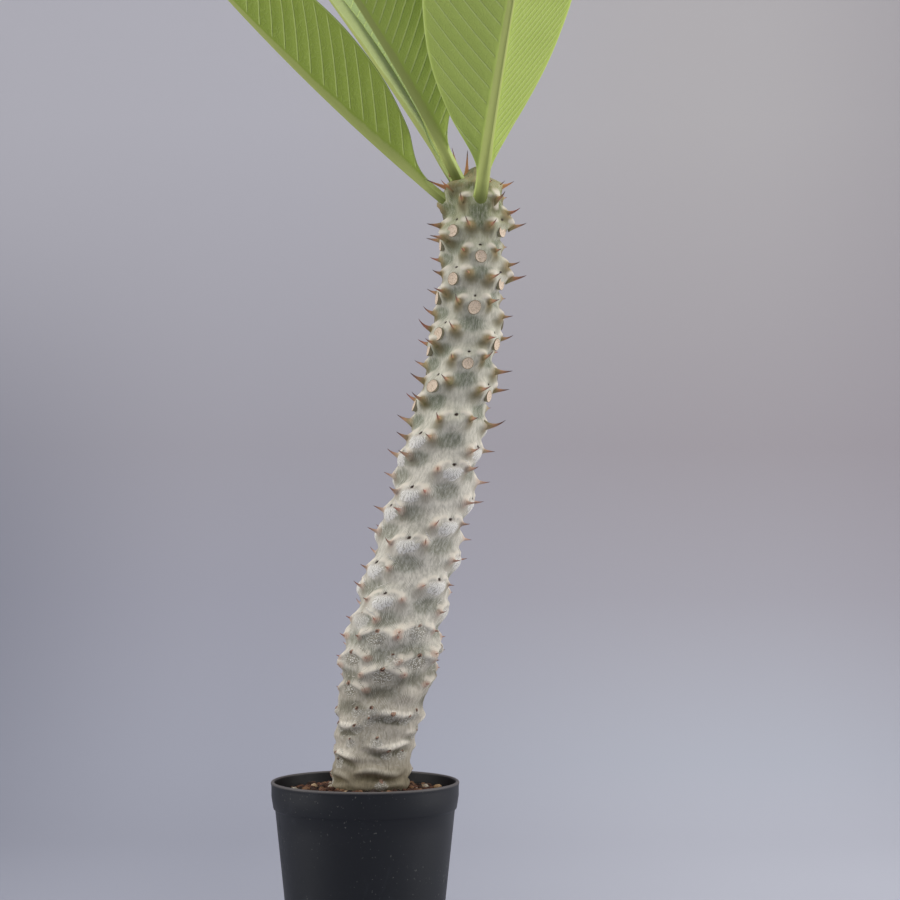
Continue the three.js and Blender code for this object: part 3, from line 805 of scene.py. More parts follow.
OLD_WARTS = [
    (-34, 116.1, 1.1), (-12, 116.6, 1.1), (-13, 111.6, 0.8), (17, 113.5, 1.3), (56, 114.6, 1.1),
    (-63, 108.5, 1.2), (-31, 108.1, 0.9), (3, 102.2, 0.9), (22, 95.9, 1.1), (-61, 94.6, 1.1),
    (-59, 91.4, 0.8), (17, 81.6, 1.1), (-88, 82.6, 1.4), (42, 112.1, 0.8), (50, 95.4, 0.8),
    (-37, 101.4, 0.7), (3, 141.6, 0.8), (74, 104.6, 0.9), (-84, 115.0, 1.0),
    (102, 108.0, 1.2), (140, 113.0, 1.1), (166, 104.0, 1.0), (206, 110.4, 1.2),
    (238, 102.0, 1.0), (262, 111.0, 1.1), (122, 95.0, 1.1), (182, 92.4, 1.2), (226, 88.0, 1.1),
    (252, 96.2, 0.9), (108, 84.8, 1.2), (156, 82.4, 1.0), (268, 84.0, 1.1),
]
for azimuth, height, half, tilt, lift in OLD_FOLDS:
    turn = turn_between(az, azimuth)
    up = hi - height - tilt * turn - 0.8 * np.sin(np.radians(turn * 5 + height * 40))
    span = np.exp(-np.abs(turn / half) ** 3.2)
    body = np.exp(-np.where(up > 0, up / 2.6, up / 1.2) ** 2)
    extra += fade * lift * span * (body - 0.6 * np.exp(-((up + 3.1) / 1.4) ** 2))
    # The top of each fold is marked near-white: partly pale bark, partly a painted highlight.
    folds = np.maximum(folds, span * np.exp(-((up - 0.7) / 1.9) ** 2) * min(1, lift))
    # The band under each fold is marked for painted shade.
    shade = np.maximum(shade, 0.9 * span * np.exp(-((up + 3.1) / 1.7) ** 2) * min(1, lift))
for azimuth, height, size in OLD_WARTS:
    du, dv = turn_between(az, azimuth) * girth, hi - height
    wart = np.exp(-((du / size) ** 2 + (dv / (size * 0.9)) ** 2) ** 1.3)
    halo = np.exp(-((du / (size * 2.6)) ** 2 + ((dv + 1) / (size * 2.2)) ** 2))
    extra += fade * (0.75 * wart + 0.5 * halo)
    warts = np.maximum(warts, wart)
    px, py = du / 3.2, (dv + 2.2) / 2.4
    nearer = px ** 2 + py ** 2 < patch_x ** 2 + patch_y ** 2
    patch_x, patch_y = np.where(nearer, px, patch_x), np.where(nearer, py, patch_y)
    patch_kind = np.where(nearer, 1.6, patch_kind)
# Round each petiole the skin swells into a cushion, and round it the skin is marked grey-green:
# partly green skin, partly painted shade.
PETIOLE_FEET = [(12, 352), (-84, 353), (-48, 364)]
for heading, height in PETIOLE_FEET:
    du, dv = turn_between(az, heading) * girth, hi - height
    cushion = swelling(du, dv, 4.4, 3.2, 4.6, 3)
    extra += 1.1 * cushion
    shade = np.maximum(shade, 0.9 * cushion)
    pale_and_highlit_tops *= 1 - 0.8 * cushion
extra *= fade
beyond = np.hypot(patch_x, patch_y) > 2.2
patch_x[beyond], patch_y[beyond], patch_kind[beyond] = FAR_AWAY, FAR_AWAY, 0

lumps = np.array([
    noise.fractal(Vector((math.sin(a) * 9, -math.cos(a) * 9, h * 0.5)) * 0.35, 0.7, 2.0, 3)
    for a, h in zip(np.radians(az).ravel(), hi.ravel())
]).reshape(az.shape)
stem_reach = stem_radius(hi) + relief + extra + 0.24 * lumps * fade
# The bud between the petioles is small and low.
BUD_FOOT = 364
BUD_NARROWS = 0.34
BUD_SINKS = 0.26
stem_reach *= 1 - BUD_NARROWS * soft_step(hi, BUD_FOOT, BUD_FOOT + 7)


def carved_point(azimuth, height):
    """A point on the finished skin, in millimetres."""
    row = float(np.interp(height, stem_heights, np.arange(len(stem_heights))))
    column = azimuth % 360 / 360 * STEM_COLUMNS
    r, c = min(int(row), len(stem_heights) - 2), int(column)
    t, s = row - r, column - c
    reach = (
        (stem_reach[r, c] * (1 - s) + stem_reach[r, c + 1] * s) * (1 - t)
        + (stem_reach[r + 1, c] * (1 - s) + stem_reach[r + 1, c + 1] * s) * t
    )
    return stem_point(azimuth, height, reach)


turn = np.radians(az)
stem_grid = np.stack([
    stem_lean(hi) + stem_reach * np.sin(turn),
    stem_sway(hi) - stem_reach * np.cos(turn),
    hi - BUD_SINKS * np.maximum(hi - BUD_FOOT, 0),
], axis=-1)
stem = woven_skin("stem_skin", stem_grid)
note(stem.data, "skin", rows_of(14 * np.sin(turn), -14 * np.cos(turn), hi) * MM)
note(stem.data, "patch", rows_of(patch_x, patch_y, patch_kind))
note(stem.data, "marks", rows_of(pits, pale_and_highlit_tops, warts))
note(stem.data, "forms", rows_of(shade, np.clip((relief + extra) / 5, 0, 1), folds))
note(stem.data, "feet", rows_of(feet, foot_shades, feet * 0))
close_skin(stem)

bark = Finish("cracked_waxy_bark", 0.78, Specular_IOR_Level=0.3)
skin, skin_x, skin_y, height = bark.read("skin")
_, px, py, patch_kind = bark.read("patch")
_, pit, top, wart = bark.read("marks")
_, under, crest, fold = bark.read("forms")
_, foot, foot_shade, _ = bark.read("feet")
cloud = bark.grain(skin, 90, 3)
blotch = bark.grain(skin, 260, 3)
grit = bark.grain(skin, 1300, 2)
old_share = bark.step(height, 0.15, 0.118)
young_share = bark.step(height, 0.222, 0.262)
tip_share = bark.step(height, 0.318, 0.362)
cream = bark.blend(young_share, (214, 208, 194), (210, 206, 188))
cream = bark.blend(old_share, cream, (186, 177, 160))
green = bark.blend(young_share, (146, 146, 130), (132, 138, 116))
green = bark.blend(old_share, green, (122, 118, 100))
cream = bark.blend(tip_share, cream, (176, 178, 136))
green = bark.blend(tip_share, green, (110, 120, 74))
# Painted shade: under the cushions and folds, round the petioles and in the low skin the colour
# turns grey-green, partly greener skin and partly shade.
hollow = bark.step(under + (blotch - 0.5) * 0.5 + (1 - crest) * 0.25, 0.25, 0.95)
# Fine cracks in the wax run up and down like the lines of a fingertip.
LINES_ROUND = 196
around = bark.sum("ARCTAN2", skin_x, 0 - skin_y)
weave = bark.grain(skin, 150, 2)
lines = bark.sum("SINE", around * LINES_ROUND + weave * 34 + crest * 8) * 0.5 + 0.5
dashes = bark.grain(bark.stretch(skin, (1, 1, 0.32)), 1100, 3, 0.6)
lines = lines * 0.42 + dashes * 1.0
dark_line = bark.step(lines, 0.72, 0.38)
light_line = bark.step(lines, 0.72, 1.0)
streak = bark.step(lines, 0.5, 0.9)
calm = (1 - 0.5 * top) * (1 - 0.6 * foot_shade)
apex = bark.step(height + (blotch - 0.5) * 0.008, 0.358, 0.367)
# Cork over the scars: white, split by fine cracks that fan out from the pit; the oldest is
# broken into crumbs.
is_fan = bark.step(patch_kind, 0.4, 0.9) * bark.step(patch_kind, 1.95, 1.1)
is_crumb = bark.step(patch_kind, 1.1, 1.9)
fan = bark.sum("ARCTAN2", px, 1.15 - py)
waver = (bark.grain(skin, 420, 3) - 0.5) * 26
ray = bark.sum("SINE", fan * 34 + waver)
edge = bark.reach(px, py) + (bark.grain(skin, 620, 3) - 0.5) * 1.0
cork = bark.step(edge, 1.06, 0.8)
split = bark.step(ray + (grit - 0.5) * 2.2, 0.35, 0.95)
crumbs = bark.step(bark.grain(skin, 2100, 2), 0.52, 0.6)
base = bark.coats(
    cream,
    (hollow * 0.95, green),
    (bark.step(cloud, 0.45, 0.72) * 0.35, green),
    (dark_line * (0.62 - young_share * 0.2 - old_share * 0.2) * calm, (104, 100, 82)),
    (light_line * (0.6 - old_share * 0.15) * calm, (236, 232, 220)),
    # Painted shade on the lower side of each foot, olive on young skin.
    (
        bark.step(foot_shade + (blotch - 0.5) * 0.5, 0.1, 1.05) * (0.5 + young_share * 0.38),
        bark.blend(young_share, (142, 132, 112), (112, 103, 70)),
    ),
    # Painted highlight: the tops of the feet, the brows and the cushion by the front petiole turn
    # pale cream, partly pale wax.
    (
        bark.step(top + (blotch - 0.5) * 0.4, 0.3, 0.9) * (0.8 - old_share * 0.25),
        (228, 219, 203),
    ),
    (
        bark.step(foot, 0.5, 0.92) * (0.6 + young_share * 0.3),
        bark.blend(young_share, (194, 160, 140), (160, 138, 96)),
    ),
    # Painted shade: under the old knobs and folds the skin turns dark brown.
    (bark.step(under, 0.35, 0.9) * old_share * 0.6, (92, 86, 68)),
    # The fold tops turn near-white: partly pale bark, partly painted highlight.
    (bark.step(fold, 0.2, 0.85) * (0.35 + streak * 0.6), (246, 238, 222)),
    (
        bark.step(height, 0.099, 0.0775) * 0.85,
        bark.blend(dark_line, (120, 108, 78), (86, 77, 54)),
    ),
    (
        cork * is_fan * 0.9,
        bark.coats(
            (240, 237, 230),
            (split * 0.55, (140, 132, 112)),
            (bark.step(py, 0.45, 0.95) * 0.5, (176, 156, 138)),
        ),
    ),
    (
        bark.step(edge, 1.2, 0.6) * is_crumb * 0.75,
        bark.blend(crumbs, (130, 124, 104), (240, 236, 226)),
    ),
    (
        bark.step(wart + (grit - 0.5) * 0.9, 0.3, 0.6),
        bark.blend(bark.step(grit, 0.4, 0.62), (70, 48, 38), (172, 138, 116)),
    ),
    (bark.step(pit + (grit - 0.5) * 0.3, 0.35, 0.75), (54, 38, 32)),
    (
        apex * 0.6,
        bark.blend(bark.step(blotch, 0.35, 0.65), (104, 112, 62), (160, 140, 92)),
    ),
)
bark.lay(
    Base_Color=base,
    Roughness=0.72 + light_line * 0.15,
    Normal=bark.bump(
        lines * calm - split * cork * is_fan * 0.9 + crumbs * is_crumb * 0.7,
        0.34, 0.8,
    ),
)
dress(stem, bark, "stem")

# ----------------------------------------
# The spines: a pair at each knob, hard and hollow, like rose prickles. They grew with the stem,
# from a tall flared foot to a thin hooked tip, and dried from olive to orange-brown and grey.

SPINE_SIDES = 8
SPINE_PLACES = [-0.2, 0.0, 0.14, 0.3, 0.5, 0.7, 0.88, 1.0]
SPINE_GIRTH = [1.3, 1.0, 0.7, 0.48, 0.3, 0.18, 0.1, 0.03]
SPINE_SHORTEST = 0.9
# On the stem's right, a little to the back, the spines stay short.
SHORT_SIDE = (106, 152)


def tube_faces(first, rings, sides):
    """The faces of a tube of points, ring after ring, and of its two ends."""
    made = []
    for ring in range(first, first + (rings - 1) * sides, sides):
        for i in range(sides):
            a, b = ring + i, ring + (i + 1) % sides
            made.append((a, b, b + sides, a + sides))
    last = first + (rings - 1) * sides
    made.append(tuple(reversed(range(first, first + sides))))
    made.append(tuple(range(last, last + sides)))
    return made


def leaf_here(knob):
    return any(
        abs(turn_between(leaf["heading"], knob["azimuth"])) < 34
        and abs(leaf["height"] - knob["height"]) < 9
        for leaf in leaves
    )


leaf_keys = ("name", "heading", "height", "climb", "roll", "fold", "size", "broad")
leaves = [
    dict(zip(leaf_keys, row))
    for row in [
        ("leaf_front", 12, 354, (55, 44), 6, (28, 24), 1, 1.12),
        ("leaf_left", -84, 355, (38, 48), 4, (46, 38), 0.97, 1),
        ("leaf_left_front", -48, 366, (55, 40), 0, (44, 36), 0.94, 1),
        ("leaf_left_back", -128, 364, (52, 47), -6, (46, 36), 0.9, 1),
        ("leaf_back", 162, 360, (75, 55), 0, (34, 26), 0.84, 1),
        ("leaf_young_right", 62, 370, (74, 80), 0, (62, 54), 0.34, 1),
        ("leaf_young_back", 150, 372, (80, 86), 0, (66, 60), 0.25, 1),
    ]
]

draw = random.Random(7)
points, faces, along_spine, spine_tints = [], [], [], []


def grow_spine(start, elbow, tip, climb, tallness, wideness, tint):
    """One hooked cone: closed, tall at its foot, in points and faces of the shared mesh."""
    first = len(points)
    for place, girth in zip(SPINE_PLACES, SPINE_GIRTH):
        t = max(place, 0)
        centre = start * (1 - t) ** 2 + elbow * 2 * t * (1 - t) + tip * t * t
        heading = ((elbow - start) * (1 - t) + (tip - elbow) * t).normalized()
        if place < 0:
            centre = start - heading * 1.3
        upright = (climb - heading * climb.dot(heading)).normalized()
        sideways = heading.cross(upright)
        for i in range(SPINE_SIDES):
            turn = i * 2 * math.pi / SPINE_SIDES
            p = centre + upright * math.sin(turn) * tallness * girth
            p += sideways * math.cos(turn) * wideness * girth ** 0.85
            points.append(p * MM)
            along_spine.append(t)
            spine_tints.append(tint)
    faces.extend(tube_faces(first, len(SPINE_PLACES), SPINE_SIDES))


for knob in knobs:
    if knob["spine"] < 1.2 or not OLDEST_KNOB < knob["height"] < BUD_FOOT:
        continue
    for side in (-1, 1):
        azimuth = knob["azimuth"] + side * knob["spread"] / math.radians(
            float(stem_radius(knob["height"]))
        )
        height = knob["height"] + knob["spine_up"]
        near_petiole = any(
            abs(turn_between(leaf["heading"], azimuth)) < 26
            and -4 < height - leaf["height"] < 9
            for leaf in leaves
        )
        rise, lean_aside = draw.uniform(0.06, 0.55), draw.uniform(-0.34, 0.06)
        tint, length = draw.random(), knob["spine"] - 0.9 * knob["flesh"]
        length *= draw.uniform(0.85, 1.15) * (1 - 0.15 * float(soft_step(height, 262, 215)))
        if SHORT_SIDE[0] < azimuth % 360 < SHORT_SIDE[1]:
            length *= 0.35
        if near_petiole or length < SPINE_SHORTEST:
            continue
        climb, across, normal = skin_directions(azimuth, height)
        foot = carved_point(azimuth, height)
        start = foot - normal * 1.5 - climb * 0.2
        elbow = foot + normal * length * 0.5 + across * side * lean_aside * length * 0.4
        tip = foot + normal * length * 0.97 + climb * length * rise
        tip += across * side * lean_aside * length
        grow_spine(start, elbow, tip, climb, 0.22 * length + 0.5, 0.14 * length + 0.4, tint)

# The newest spines stand round the bud: start and tip, in millimetres, then how thick.
NEWEST_SPINES = [
    ((48.4, -4.2, 368.0), (48.8, -6.4, 380.2), 2.0, 0.3),
    ((45.4, -3.6, 367.5), (41.4, -6.0, 381.6), 1.7, 0.9),
    ((43.0, -8.4, 361.0), (29.0, -14.5, 365.6), 2.6, 0.2),
    ((41.4, -5.0, 370.0), (37.6, -6.5, 376.5), 2.2, 0.95),
    ((59.0, -4.4, 360.5), (66.6, -7.4, 365.6), 1.9, 0.3),
    ((47.0, -8.6, 362.0), (49.4, -11.0, 367.5), 1.8, 0.4),
]
for low, high, thickness, tint in NEWEST_SPINES:
    low, high = Vector(low), Vector(high)
    elbow = (low + high) / 2 + Vector((0, 0, -0.8))
    grow_spine(low, elbow, high, Vector((0, 0.3, 1)).normalized(), thickness, thickness * 0.8,
               tint)

spines = closed_piece("spines", points, faces)
note(spines.data, "along", along_spine)
note(spines.data, "ripeness", spine_tints)

horn = Finish("dry_spine_horn", 0.5, Specular_IOR_Level=0.4)
along, ripe = horn.number("along"), horn.number("ripeness")
spot = horn.here()
fibre = horn.grain(spot, 900, 3)
height = horn.parts(spot)[2]
place = along + (fibre - 0.5) * 0.12
upper_horn = horn.ramp(
    place,
    (0.0, (136, 128, 88)),
    (0.2, (156, 134, 92)),
    (0.42, (182, 136, 102)),
    (0.7, (138, 104, 88)),
    (0.95, (92, 86, 88)),
)
lower_horn = horn.ramp(
    place,
    (0.0, (196, 184, 168)),
    (0.25, (192, 164, 144)),
    (0.5, (178, 138, 118)),
    (0.78, (146, 106, 92)),
    (0.97, (106, 88, 84)),
)
ripeness = horn.step(ripe, 0.74, 0.95) * 0.4 * horn.step(along, 0.15, 0.4)
newest = horn.step(height, 0.359, 0.363) * horn.step(along, 0.95, 0.6)
tone = horn.coats(
    lower_horn,
    (horn.step(height, 0.215, 0.26), upper_horn),
    (ripeness, (170, 84, 70)),
    (newest * 0.6, (204, 138, 84)),
)
horn.lay(Base_Color=tone, Normal=horn.bump(fibre, 0.12, 0.5))
dress(spines, horn, "stem")

# ----------------------------------------
# The leaf scars: pale round stubs with a raised dark rim, where leaves broke off cleanly. Those
# on the upper stem still stand proud. They are part of the stem.

SCARS_FROM, SCARS_TO = 258, 356
SCAR_SIDES = 20
SCAR_RINGS = [
    (3.0, -1.6), (3.05, -0.3), (3.2, 0.0), (3.25, 0.2), (3.1, 0.32), (2.85, 0.33), (2.65, 0.22),
    (1.6, 0.2), (0.7, 0.14),
]
draw = random.Random(19)
points, faces, scar_places = [], [], []
for knob in knobs:
    if not SCARS_FROM < knob["height"] < SCARS_TO or leaf_here(knob):
        continue
    climb, across, normal = skin_directions(knob["azimuth"], knob["height"])
    foot = carved_point(knob["azimuth"], knob["height"] - 0.7) + normal * 0.34
    size = draw.uniform(0.86, 1.04)
    wobble = draw.uniform(0, 6.28)
    first = len(points)
    for radius, out in SCAR_RINGS:
        for i in range(SCAR_SIDES):
            turn = i * 2 * math.pi / SCAR_SIDES
            r = radius * size * (1 + 0.045 * math.sin(2 * turn + wobble))
            p = foot + across * r * math.cos(turn) + climb * r * math.sin(turn) + normal * out
            points.append(p * MM)
            scar_places.append((math.cos(turn) * radius / 3.3, math.sin(turn) * radius / 3.3, out))
    faces.extend(tube_faces(first, len(SCAR_RINGS), SCAR_SIDES))

scars = closed_piece("leaf_scars", points, faces)
note(scars.data, "disc", scar_places)

stub = Finish("healed_scar", 0.85, Specular_IOR_Level=0.25)
_, dx, dy, out = stub.read("disc")
radius = stub.reach(dx, dy)
fleck = stub.grain(stub.here(), 1600, 3)
face = stub.coats(
    (190, 168, 142),
    (stub.step(fleck, 0.3, 0.6), (226, 206, 184)),
    (stub.step(radius + (fleck - 0.5) * 0.1, 0.86, 0.97), (108, 96, 70)),
    (stub.step(out, 0.15, -0.05), (160, 154, 130)),
)
stub.lay(Base_Color=face, Normal=stub.bump(fleck, 0.12, 0.6))
dress(scars, stub, "stem")

# ----------------------------------------
# The leaves: broad, oblong and leathery, each folded up along a stout pale midrib on a short
# petiole. The upper side is glossy and dark, the underside paler with raised veins. Each petiole
# sits in the skin of the stem's tip.

LEAF_LENGTH = 186
LEAF_OUTLINE = [
    (0, 3.1), (0.1, 3.1), (0.15, 6.8), (0.23, 17), (0.36, 28), (0.5, 34.4), (0.6, 36),
    (0.7, 35), (0.8, 30.6), (0.88, 23), (0.94, 14.6), (0.975, 8), (1, 1.5),
]
PETIOLE_ROOT = 5
MIDRIB_WIDTH = 6.2
MIDRIB_DEPTH = 4.6
BLADE = 0.8
VEIN_PITCH = 6.6
# How much a leaf's left and right half is painted in shade (below 0, a deeper green) or in light
# (above 0, a paler green).
LEAF_PAINTED_LIGHT = {
    "leaf_front": (0.34, 0.28), "leaf_left": (-0.54, -0.54), "leaf_left_back": (1.0, 1.0),
    "leaf_left_front": (0.3, 0.22),
}
# How far a leaf's veins stand apart on its left and on its right half.
VEIN_SPREADS = {"leaf_front": (1.28, 0.6), "leaf_left": (1.3, 1.3)}


def turned_about(vectors, axes, angle):
    """Vectors turned about matching unit axes by one angle."""
    c, s = math.cos(angle), math.sin(angle)
    return (
        vectors * c
        + np.cross(axes, vectors) * s
        + axes * np.sum(axes * vectors, axis=-1, keepdims=True) * (1 - c)
    )


def make_leaf(leaf, rows, half_columns):
    size = leaf["size"]
    length = LEAF_LENGTH * size
    heading = math.radians(leaf["heading"])
    outward = np.array([math.sin(heading), -math.cos(heading), 0])
    across = np.array([math.cos(heading), math.sin(heading), 0])
    start = np.array(
        skin_point(leaf["heading"], leaf["height"], -1.6 if size > 0.5 else -3.4)
    )
    shares = np.concatenate([[0], np.linspace(0.006, 0.988, rows - 2), [0.998]])
    low, high = leaf["climb"]
    fine = np.linspace(0, 1, 601)
    middle = np.radians(low + (high - low) * (fine[:-1] + fine[1:]) / 2)
    run = np.concatenate([[0], np.cumsum(np.cos(middle))]) / 600 * length
    gain = np.concatenate([[0], np.cumsum(np.sin(middle))]) / 600 * length
    places = (
        start
        + np.interp(shares, fine, run)[:, None] * outward
        + np.interp(shares, fine, gain)[:, None] * np.array([0, 0, 1])
    )
    slope = np.radians(low + (high - low) * shares)[:, None]
    along = np.cos(slope) * outward + np.sin(slope) * np.array([0, 0, 1])
    side = turned_about(np.broadcast_to(across, along.shape), along, math.radians(leaf["roll"]))
    face = np.cross(along, side)
    places[0] -= along[0] * PETIOLE_ROOT

    rib = np.maximum(0.9, MIDRIB_WIDTH / 2 * size * (1 - 0.72 * shares))[:, None]
    depth = np.maximum(1.1, MIDRIB_DEPTH * size * (1 - 0.8 * shares))[:, None]
    width = np.maximum(
        rib[:, 0] + 0.05, smooth_through(LEAF_OUTLINE, shares) * size * leaf["broad"]
    )[:, None]
    opened = soft_step(shares, 0.06, 0.22)[:, None]
    # Half a section, from the midrib to the margin: closer points next to the midrib.
    q = (np.linspace(0, 1, half_columns + 1) ** 1.25)[None, :]
    inner, outer = leaf["fold"]
    steps = np.diff(q, axis=1) * width
    bend = np.radians(inner + (outer - inner) * (q[:, 1:] + q[:, :-1]) / 2) * opened
    zero = np.zeros((rows, 1))
    x = np.concatenate([zero, np.cumsum(steps * np.cos(bend), axis=1)], axis=1)
    y = np.concatenate([zero, np.cumsum(steps * np.sin(bend), axis=1)], axis=1)
    out = q * width
    advance = (shares * length)[:, None]
    halves = []
    spreads = VEIN_SPREADS.get(leaf["name"], (1.06, 0.9))
    for sign in (-1, 1):
        pitch = VEIN_PITCH * size ** 0.5 * spreads[0 if sign < 0 else 1]
        phase = (advance - out * 0.82 - 0.004 * out ** 2) / pitch + (0.4 if sign > 0 else 0)
        swell = 0.5 - 0.5 * np.cos(2 * np.pi * phase)
        free = soft_step(out, 1.2 * rib, 1.2 * rib + 4) * (1 - q ** 6) * opened
        wave = np.sin(advance / (26 * size) + sign * 1.3 + leaf["heading"]) * q ** 3
        lift = (0.42 * swell * free + 1.1 * wave * opened) * size
        thick = BLADE * (1 - 0.45 * q ** 8) * np.ones_like(out)
        keel = depth * np.sqrt(np.clip(1 - (out / (1.12 * rib)) ** 2.4, 0, 1))
        groove = 0.55 * size * np.exp(-(out / (0.5 * rib)) ** 2) * opened
        crown = 0.6 * size * np.clip(1 - (out / rib) ** 2, 0, 1) * (1 - opened)
        upper = y + lift - groove + crown
        lower = y + lift - np.maximum(thick, keel)
        halves.append((sign * x, upper, lower, sign * out, phase))

    def once_round(low, high):
        """Under the left half and the right half, then back over the top."""
        return np.concatenate([
            low[0][:, ::-1], low[1][:, 1:], high[1][:, ::-1], high[0][:, 1:], low[0][:, -1:]
        ], axis=1)

    sides, uppers, lowers, aways, turns = zip(*halves)
    xs, ys = once_round(sides, sides), once_round(lowers, uppers)
    outs, phases = once_round(aways, aways), once_round(turns, turns)
    columns = 2 * half_columns + 1
    under = np.concatenate([
        np.ones((rows, columns)), np.zeros((rows, columns)), np.ones((rows, 1))
    ], axis=1)
    grid = places[:, None, :] + xs[..., None] * side[:, None, :] + ys[..., None] * face[:, None, :]
    piece = woven_skin(leaf["name"] + "_blade", grid)
    full = np.broadcast_to(advance, outs.shape)
    note(piece.data, "blade", rows_of(outs * MM, full * MM, under))
    spread = np.broadcast_to(width, outs.shape)
    ribs = np.broadcast_to(rib, outs.shape)
    note(piece.data, "veins", rows_of(phases, np.abs(outs) / spread, np.abs(outs) / ribs))
    # Each half carries its painted light or shade, then its vein pitch.
    painted_light = LEAF_PAINTED_LIGHT.get(leaf["name"], (0, 0))
    pitches = [VEIN_PITCH * size ** 0.5 * s for s in spreads]
    note(piece.data, "halves", rows_of(
        np.where(outs < 0, *painted_light), np.where(outs < 0, *pitches), outs * 0))
    close_skin(piece)
    return piece


def leaf_finish(name, upper, lower, vein, rib, base, gloss):
    made = Finish(name, gloss, Specular_IOR_Level=0.4)
    blade, aside, advance, under = made.read("blade")
    _, phase, edge, rib_share = made.read("veins")
    cloud = made.grain(blade, 55, 4)
    fine = made.grain(blade, 1100, 3)
    middle = made.sum("PINGPONG", phase + 0.5, 0.5)
    _, tone, pitch, _ = made.read("halves")
    middle = (0.5 - middle) * pitch
    vein_line = made.step(middle + (fine - 0.5) * 0.12, 0.72, 0.26)
    net = made.node(
        "TexVoronoi",
        {"feature": "DISTANCE_TO_EDGE"},
        {"Vector": made.stretch(blade, (1, 1, 0)), "Scale": 430},
        0,
    )
    net_line = made.step(net, 0.1, 0.02)
    clear = made.step(rib_share, 1.25, 1.9) * made.step(edge, 1.0, 0.9)
    # Painted shade: a half below 0 turns a deeper green, with fainter veins.
    painted_leaf_shade = made.step(tone, 0, -1)
    stalk = made.step(advance + (cloud - 0.5) * 0.008, 0.017, 0.004)
    stout = made.step(rib_share + (fine - 0.5) * 0.2, 1.25, 0.92)
    flesh = made.coats(
        made.blend(under, made.blend(cloud, *upper), made.blend(cloud, *lower)),
        (painted_leaf_shade, (112, 130, 44)),
        # Painted light: a half above 0 gets a paler underside.
        (made.step(tone, 0, 1) * under, (200, 214, 138)),
        # Painted highlight: the upper side of a half at 0.7 and over, that of leaf_left_back,
        # turns pale.
        (made.step(tone, 0.7, 1) * (1 - under) * 0.5, (206, 222, 160)),
        (net_line * clear * 0.07, vein),
        (vein_line * clear * (0.7 - painted_leaf_shade * 0.4), vein),
        (stout, made.blend(stalk, rib, base)),
        (made.step(edge, 0.982, 0.996) * 0.5, vein),
    )
    made.lay(
        Base_Color=flesh,
        Roughness=gloss + under * 0.12 + fine * 0.1,
        Normal=made.bump(
            vein_line * clear * (under * 2 - 1) + net_line * clear * 0.3 * (under * 2 - 1)
            + fine * 0.12,
            0.35, 0.8,
        ),
    )
    return made


grown = leaf_finish(
    "grown_leaf",
    ((96, 122, 44), (118, 142, 56)),
    ((166, 190, 66), (184, 206, 86)),
    (206, 222, 138), (176, 186, 104), (110, 120, 54), 0.42,
)
fresh = leaf_finish(
    "fresh_leaf",
    ((132, 160, 62), (150, 176, 78)),
    ((154, 178, 92), (168, 188, 108)),
    (188, 202, 136), (176, 190, 120), (132, 138, 66), 0.36,
)
for leaf in leaves:
    young = leaf["size"] < 0.5
    piece = make_leaf(leaf, 60 if young else 130, 16 if young else 30)
    dress(piece, fresh if young else grown, leaf["name"])

# ----------------------------------------
# The studio: a seamless paper sweep in pale grey-lavender, two large side lights, one overhead
# and a soft room. The camera is level, as the photographer's was.

bpy.ops.object.select_all(action="DESELECT")
SWEEP_WIDTH = 2.2
SWEEP_FRONT = -2.4
SWEEP_TOP = 2.6
BEND_START = 0.35
BEND_RADIUS = 0.5
BEND_STEPS = 12
sweep_line = [(SWEEP_FRONT, 0.0), (BEND_START, 0.0)]
for i in range(1, BEND_STEPS + 1):
    turn = math.pi / 2 * i / BEND_STEPS
    sweep_line.append(
        (BEND_START + BEND_RADIUS * math.sin(turn), BEND_RADIUS * (1 - math.cos(turn)))
    )
sweep_line.append((BEND_START + BEND_RADIUS, SWEEP_TOP))
bpy.ops.mesh.primitive_grid_add(x_subdivisions=1, y_subdivisions=len(sweep_line) - 1)
sweep = bpy.context.object
sweep.name = "paper_sweep"
for i, vertex in enumerate(sweep.data.vertices):
    y, z = sweep_line[i // 2]
    vertex.co = Vector(((i % 2 - 0.5) * SWEEP_WIDTH, y, z))
bpy.ops.object.shade_smooth()
paper = Finish("pale_paper", 0.95, Specular_IOR_Level=0.1)
paper_side, _, paper_height = paper.parts(paper.here())
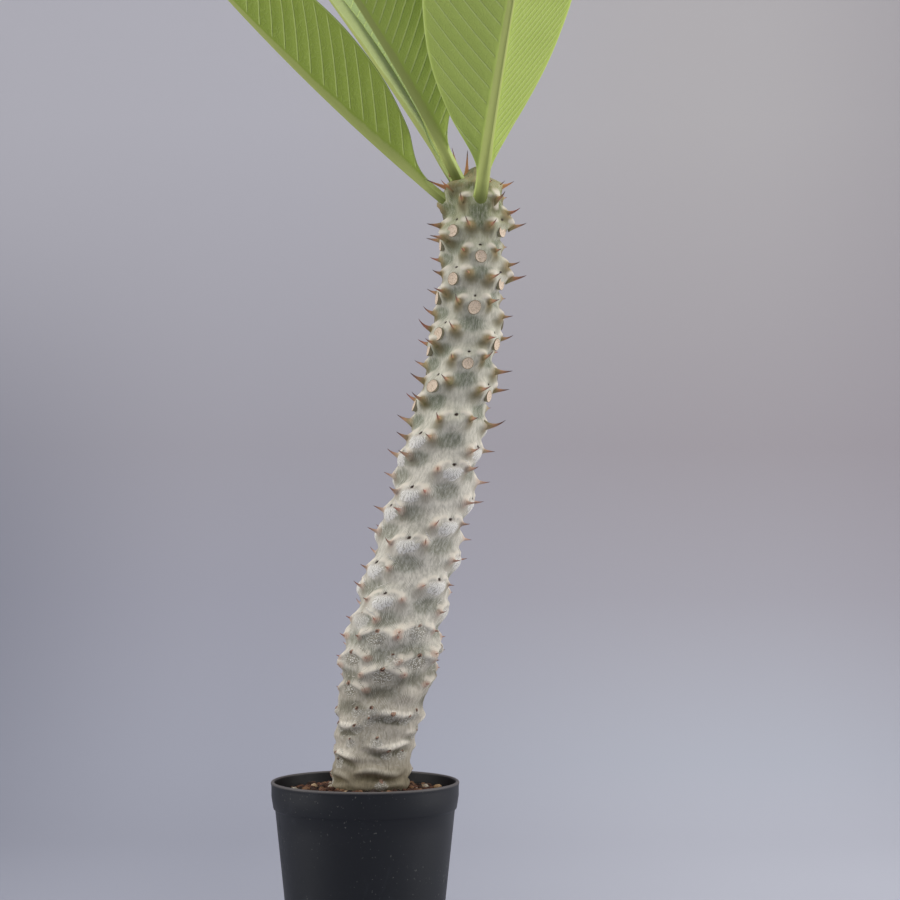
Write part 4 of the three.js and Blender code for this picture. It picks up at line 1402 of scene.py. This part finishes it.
# The paper's colour is graded up the sweep and across it: painted light and shade where the lamps
# fall off.
left_paper_light = paper.ramp(
    paper_height / 0.6,
    (0.05, (158, 160, 172)), (0.22, (155, 155, 166)), (0.4, (157, 155, 163)),
    (0.83, (177, 176, 183)),
)
right_paper_light = paper.ramp(
    paper_height / 0.6,
    (0.0, (182, 184, 194)), (0.05, (176, 179, 189)), (0.22, (163, 161, 169)),
    (0.4, (158, 153, 158)), (0.83, (177, 174, 175)),
)
# Painted shade low on the left.
left_low_shade = paper.step(paper_side, -0.12, -0.4) * 0.85 * paper.step(paper_height, 0.45, 0.1)
lit_paper = paper.coats(
    left_paper_light,
    (paper.step(paper_side, -0.12, 0.24), right_paper_light),
    (left_low_shade, (120, 122, 134)),
    # Painted shade at the far right.
    (paper.step(paper_side, 0.26, 0.5) * 0.42, (140, 134, 142)),
)
# The paper hides nothing from behind it, so the plant can be looked at from all sides.
behind = paper.node("NewGeometry", {}, {}, 6)
paper.lay(Base_Color=lit_paper, Alpha=1 - behind)
sweep.data.materials.append(paper.material)


def soft_light(name, size, power, place, target, colour):
    data = bpy.data.lights.new(name, "AREA")
    data.shape = "RECTANGLE"
    data.size, data.size_y = size
    data.energy = power
    data.color = colour
    lamp = bpy.data.objects.new(name, data)
    lamp.location = place
    lamp.rotation_euler = (Vector(target) - Vector(place)).to_track_quat("-Z", "Y").to_euler()
    bpy.context.collection.objects.link(lamp)


soft_light("left_box", (0.7, 1.1), 7.2, (-0.97, -0.2, 0.5), (0.03, 0, 0.25), (1, 0.985, 0.96))
soft_light("right_box", (0.7, 1.1), 8.2, (1.05, -0.05, 0.5), (0.03, 0, 0.25), (1, 0.99, 0.98))
soft_light("top_box", (1.2, 1.0), 8.0, (0.0, -0.25, 1.35), (0.03, 0, 0.2), (1, 0.99, 0.97))
world = bpy.data.worlds.new("soft_room")
world.use_nodes = True
world.node_tree.nodes["Background"].inputs[0].default_value = (0.9, 0.92, 1.0, 1)
world.node_tree.nodes["Background"].inputs[1].default_value = 0.4
bpy.context.scene.world = world
bpy.context.scene.view_settings.view_transform = "Standard"

CAMERA_PLACE = (0.0405, -1.304, 0.2378)
lens = bpy.data.cameras.new("camera")
lens.lens = 109.25
lens.sensor_width = 36
lens.clip_end = 20
camera = bpy.data.objects.new("camera", lens)
camera.location = CAMERA_PLACE
camera.rotation_euler = (math.radians(90), 0, 0)
bpy.context.collection.objects.link(camera)
bpy.context.scene.camera = camera
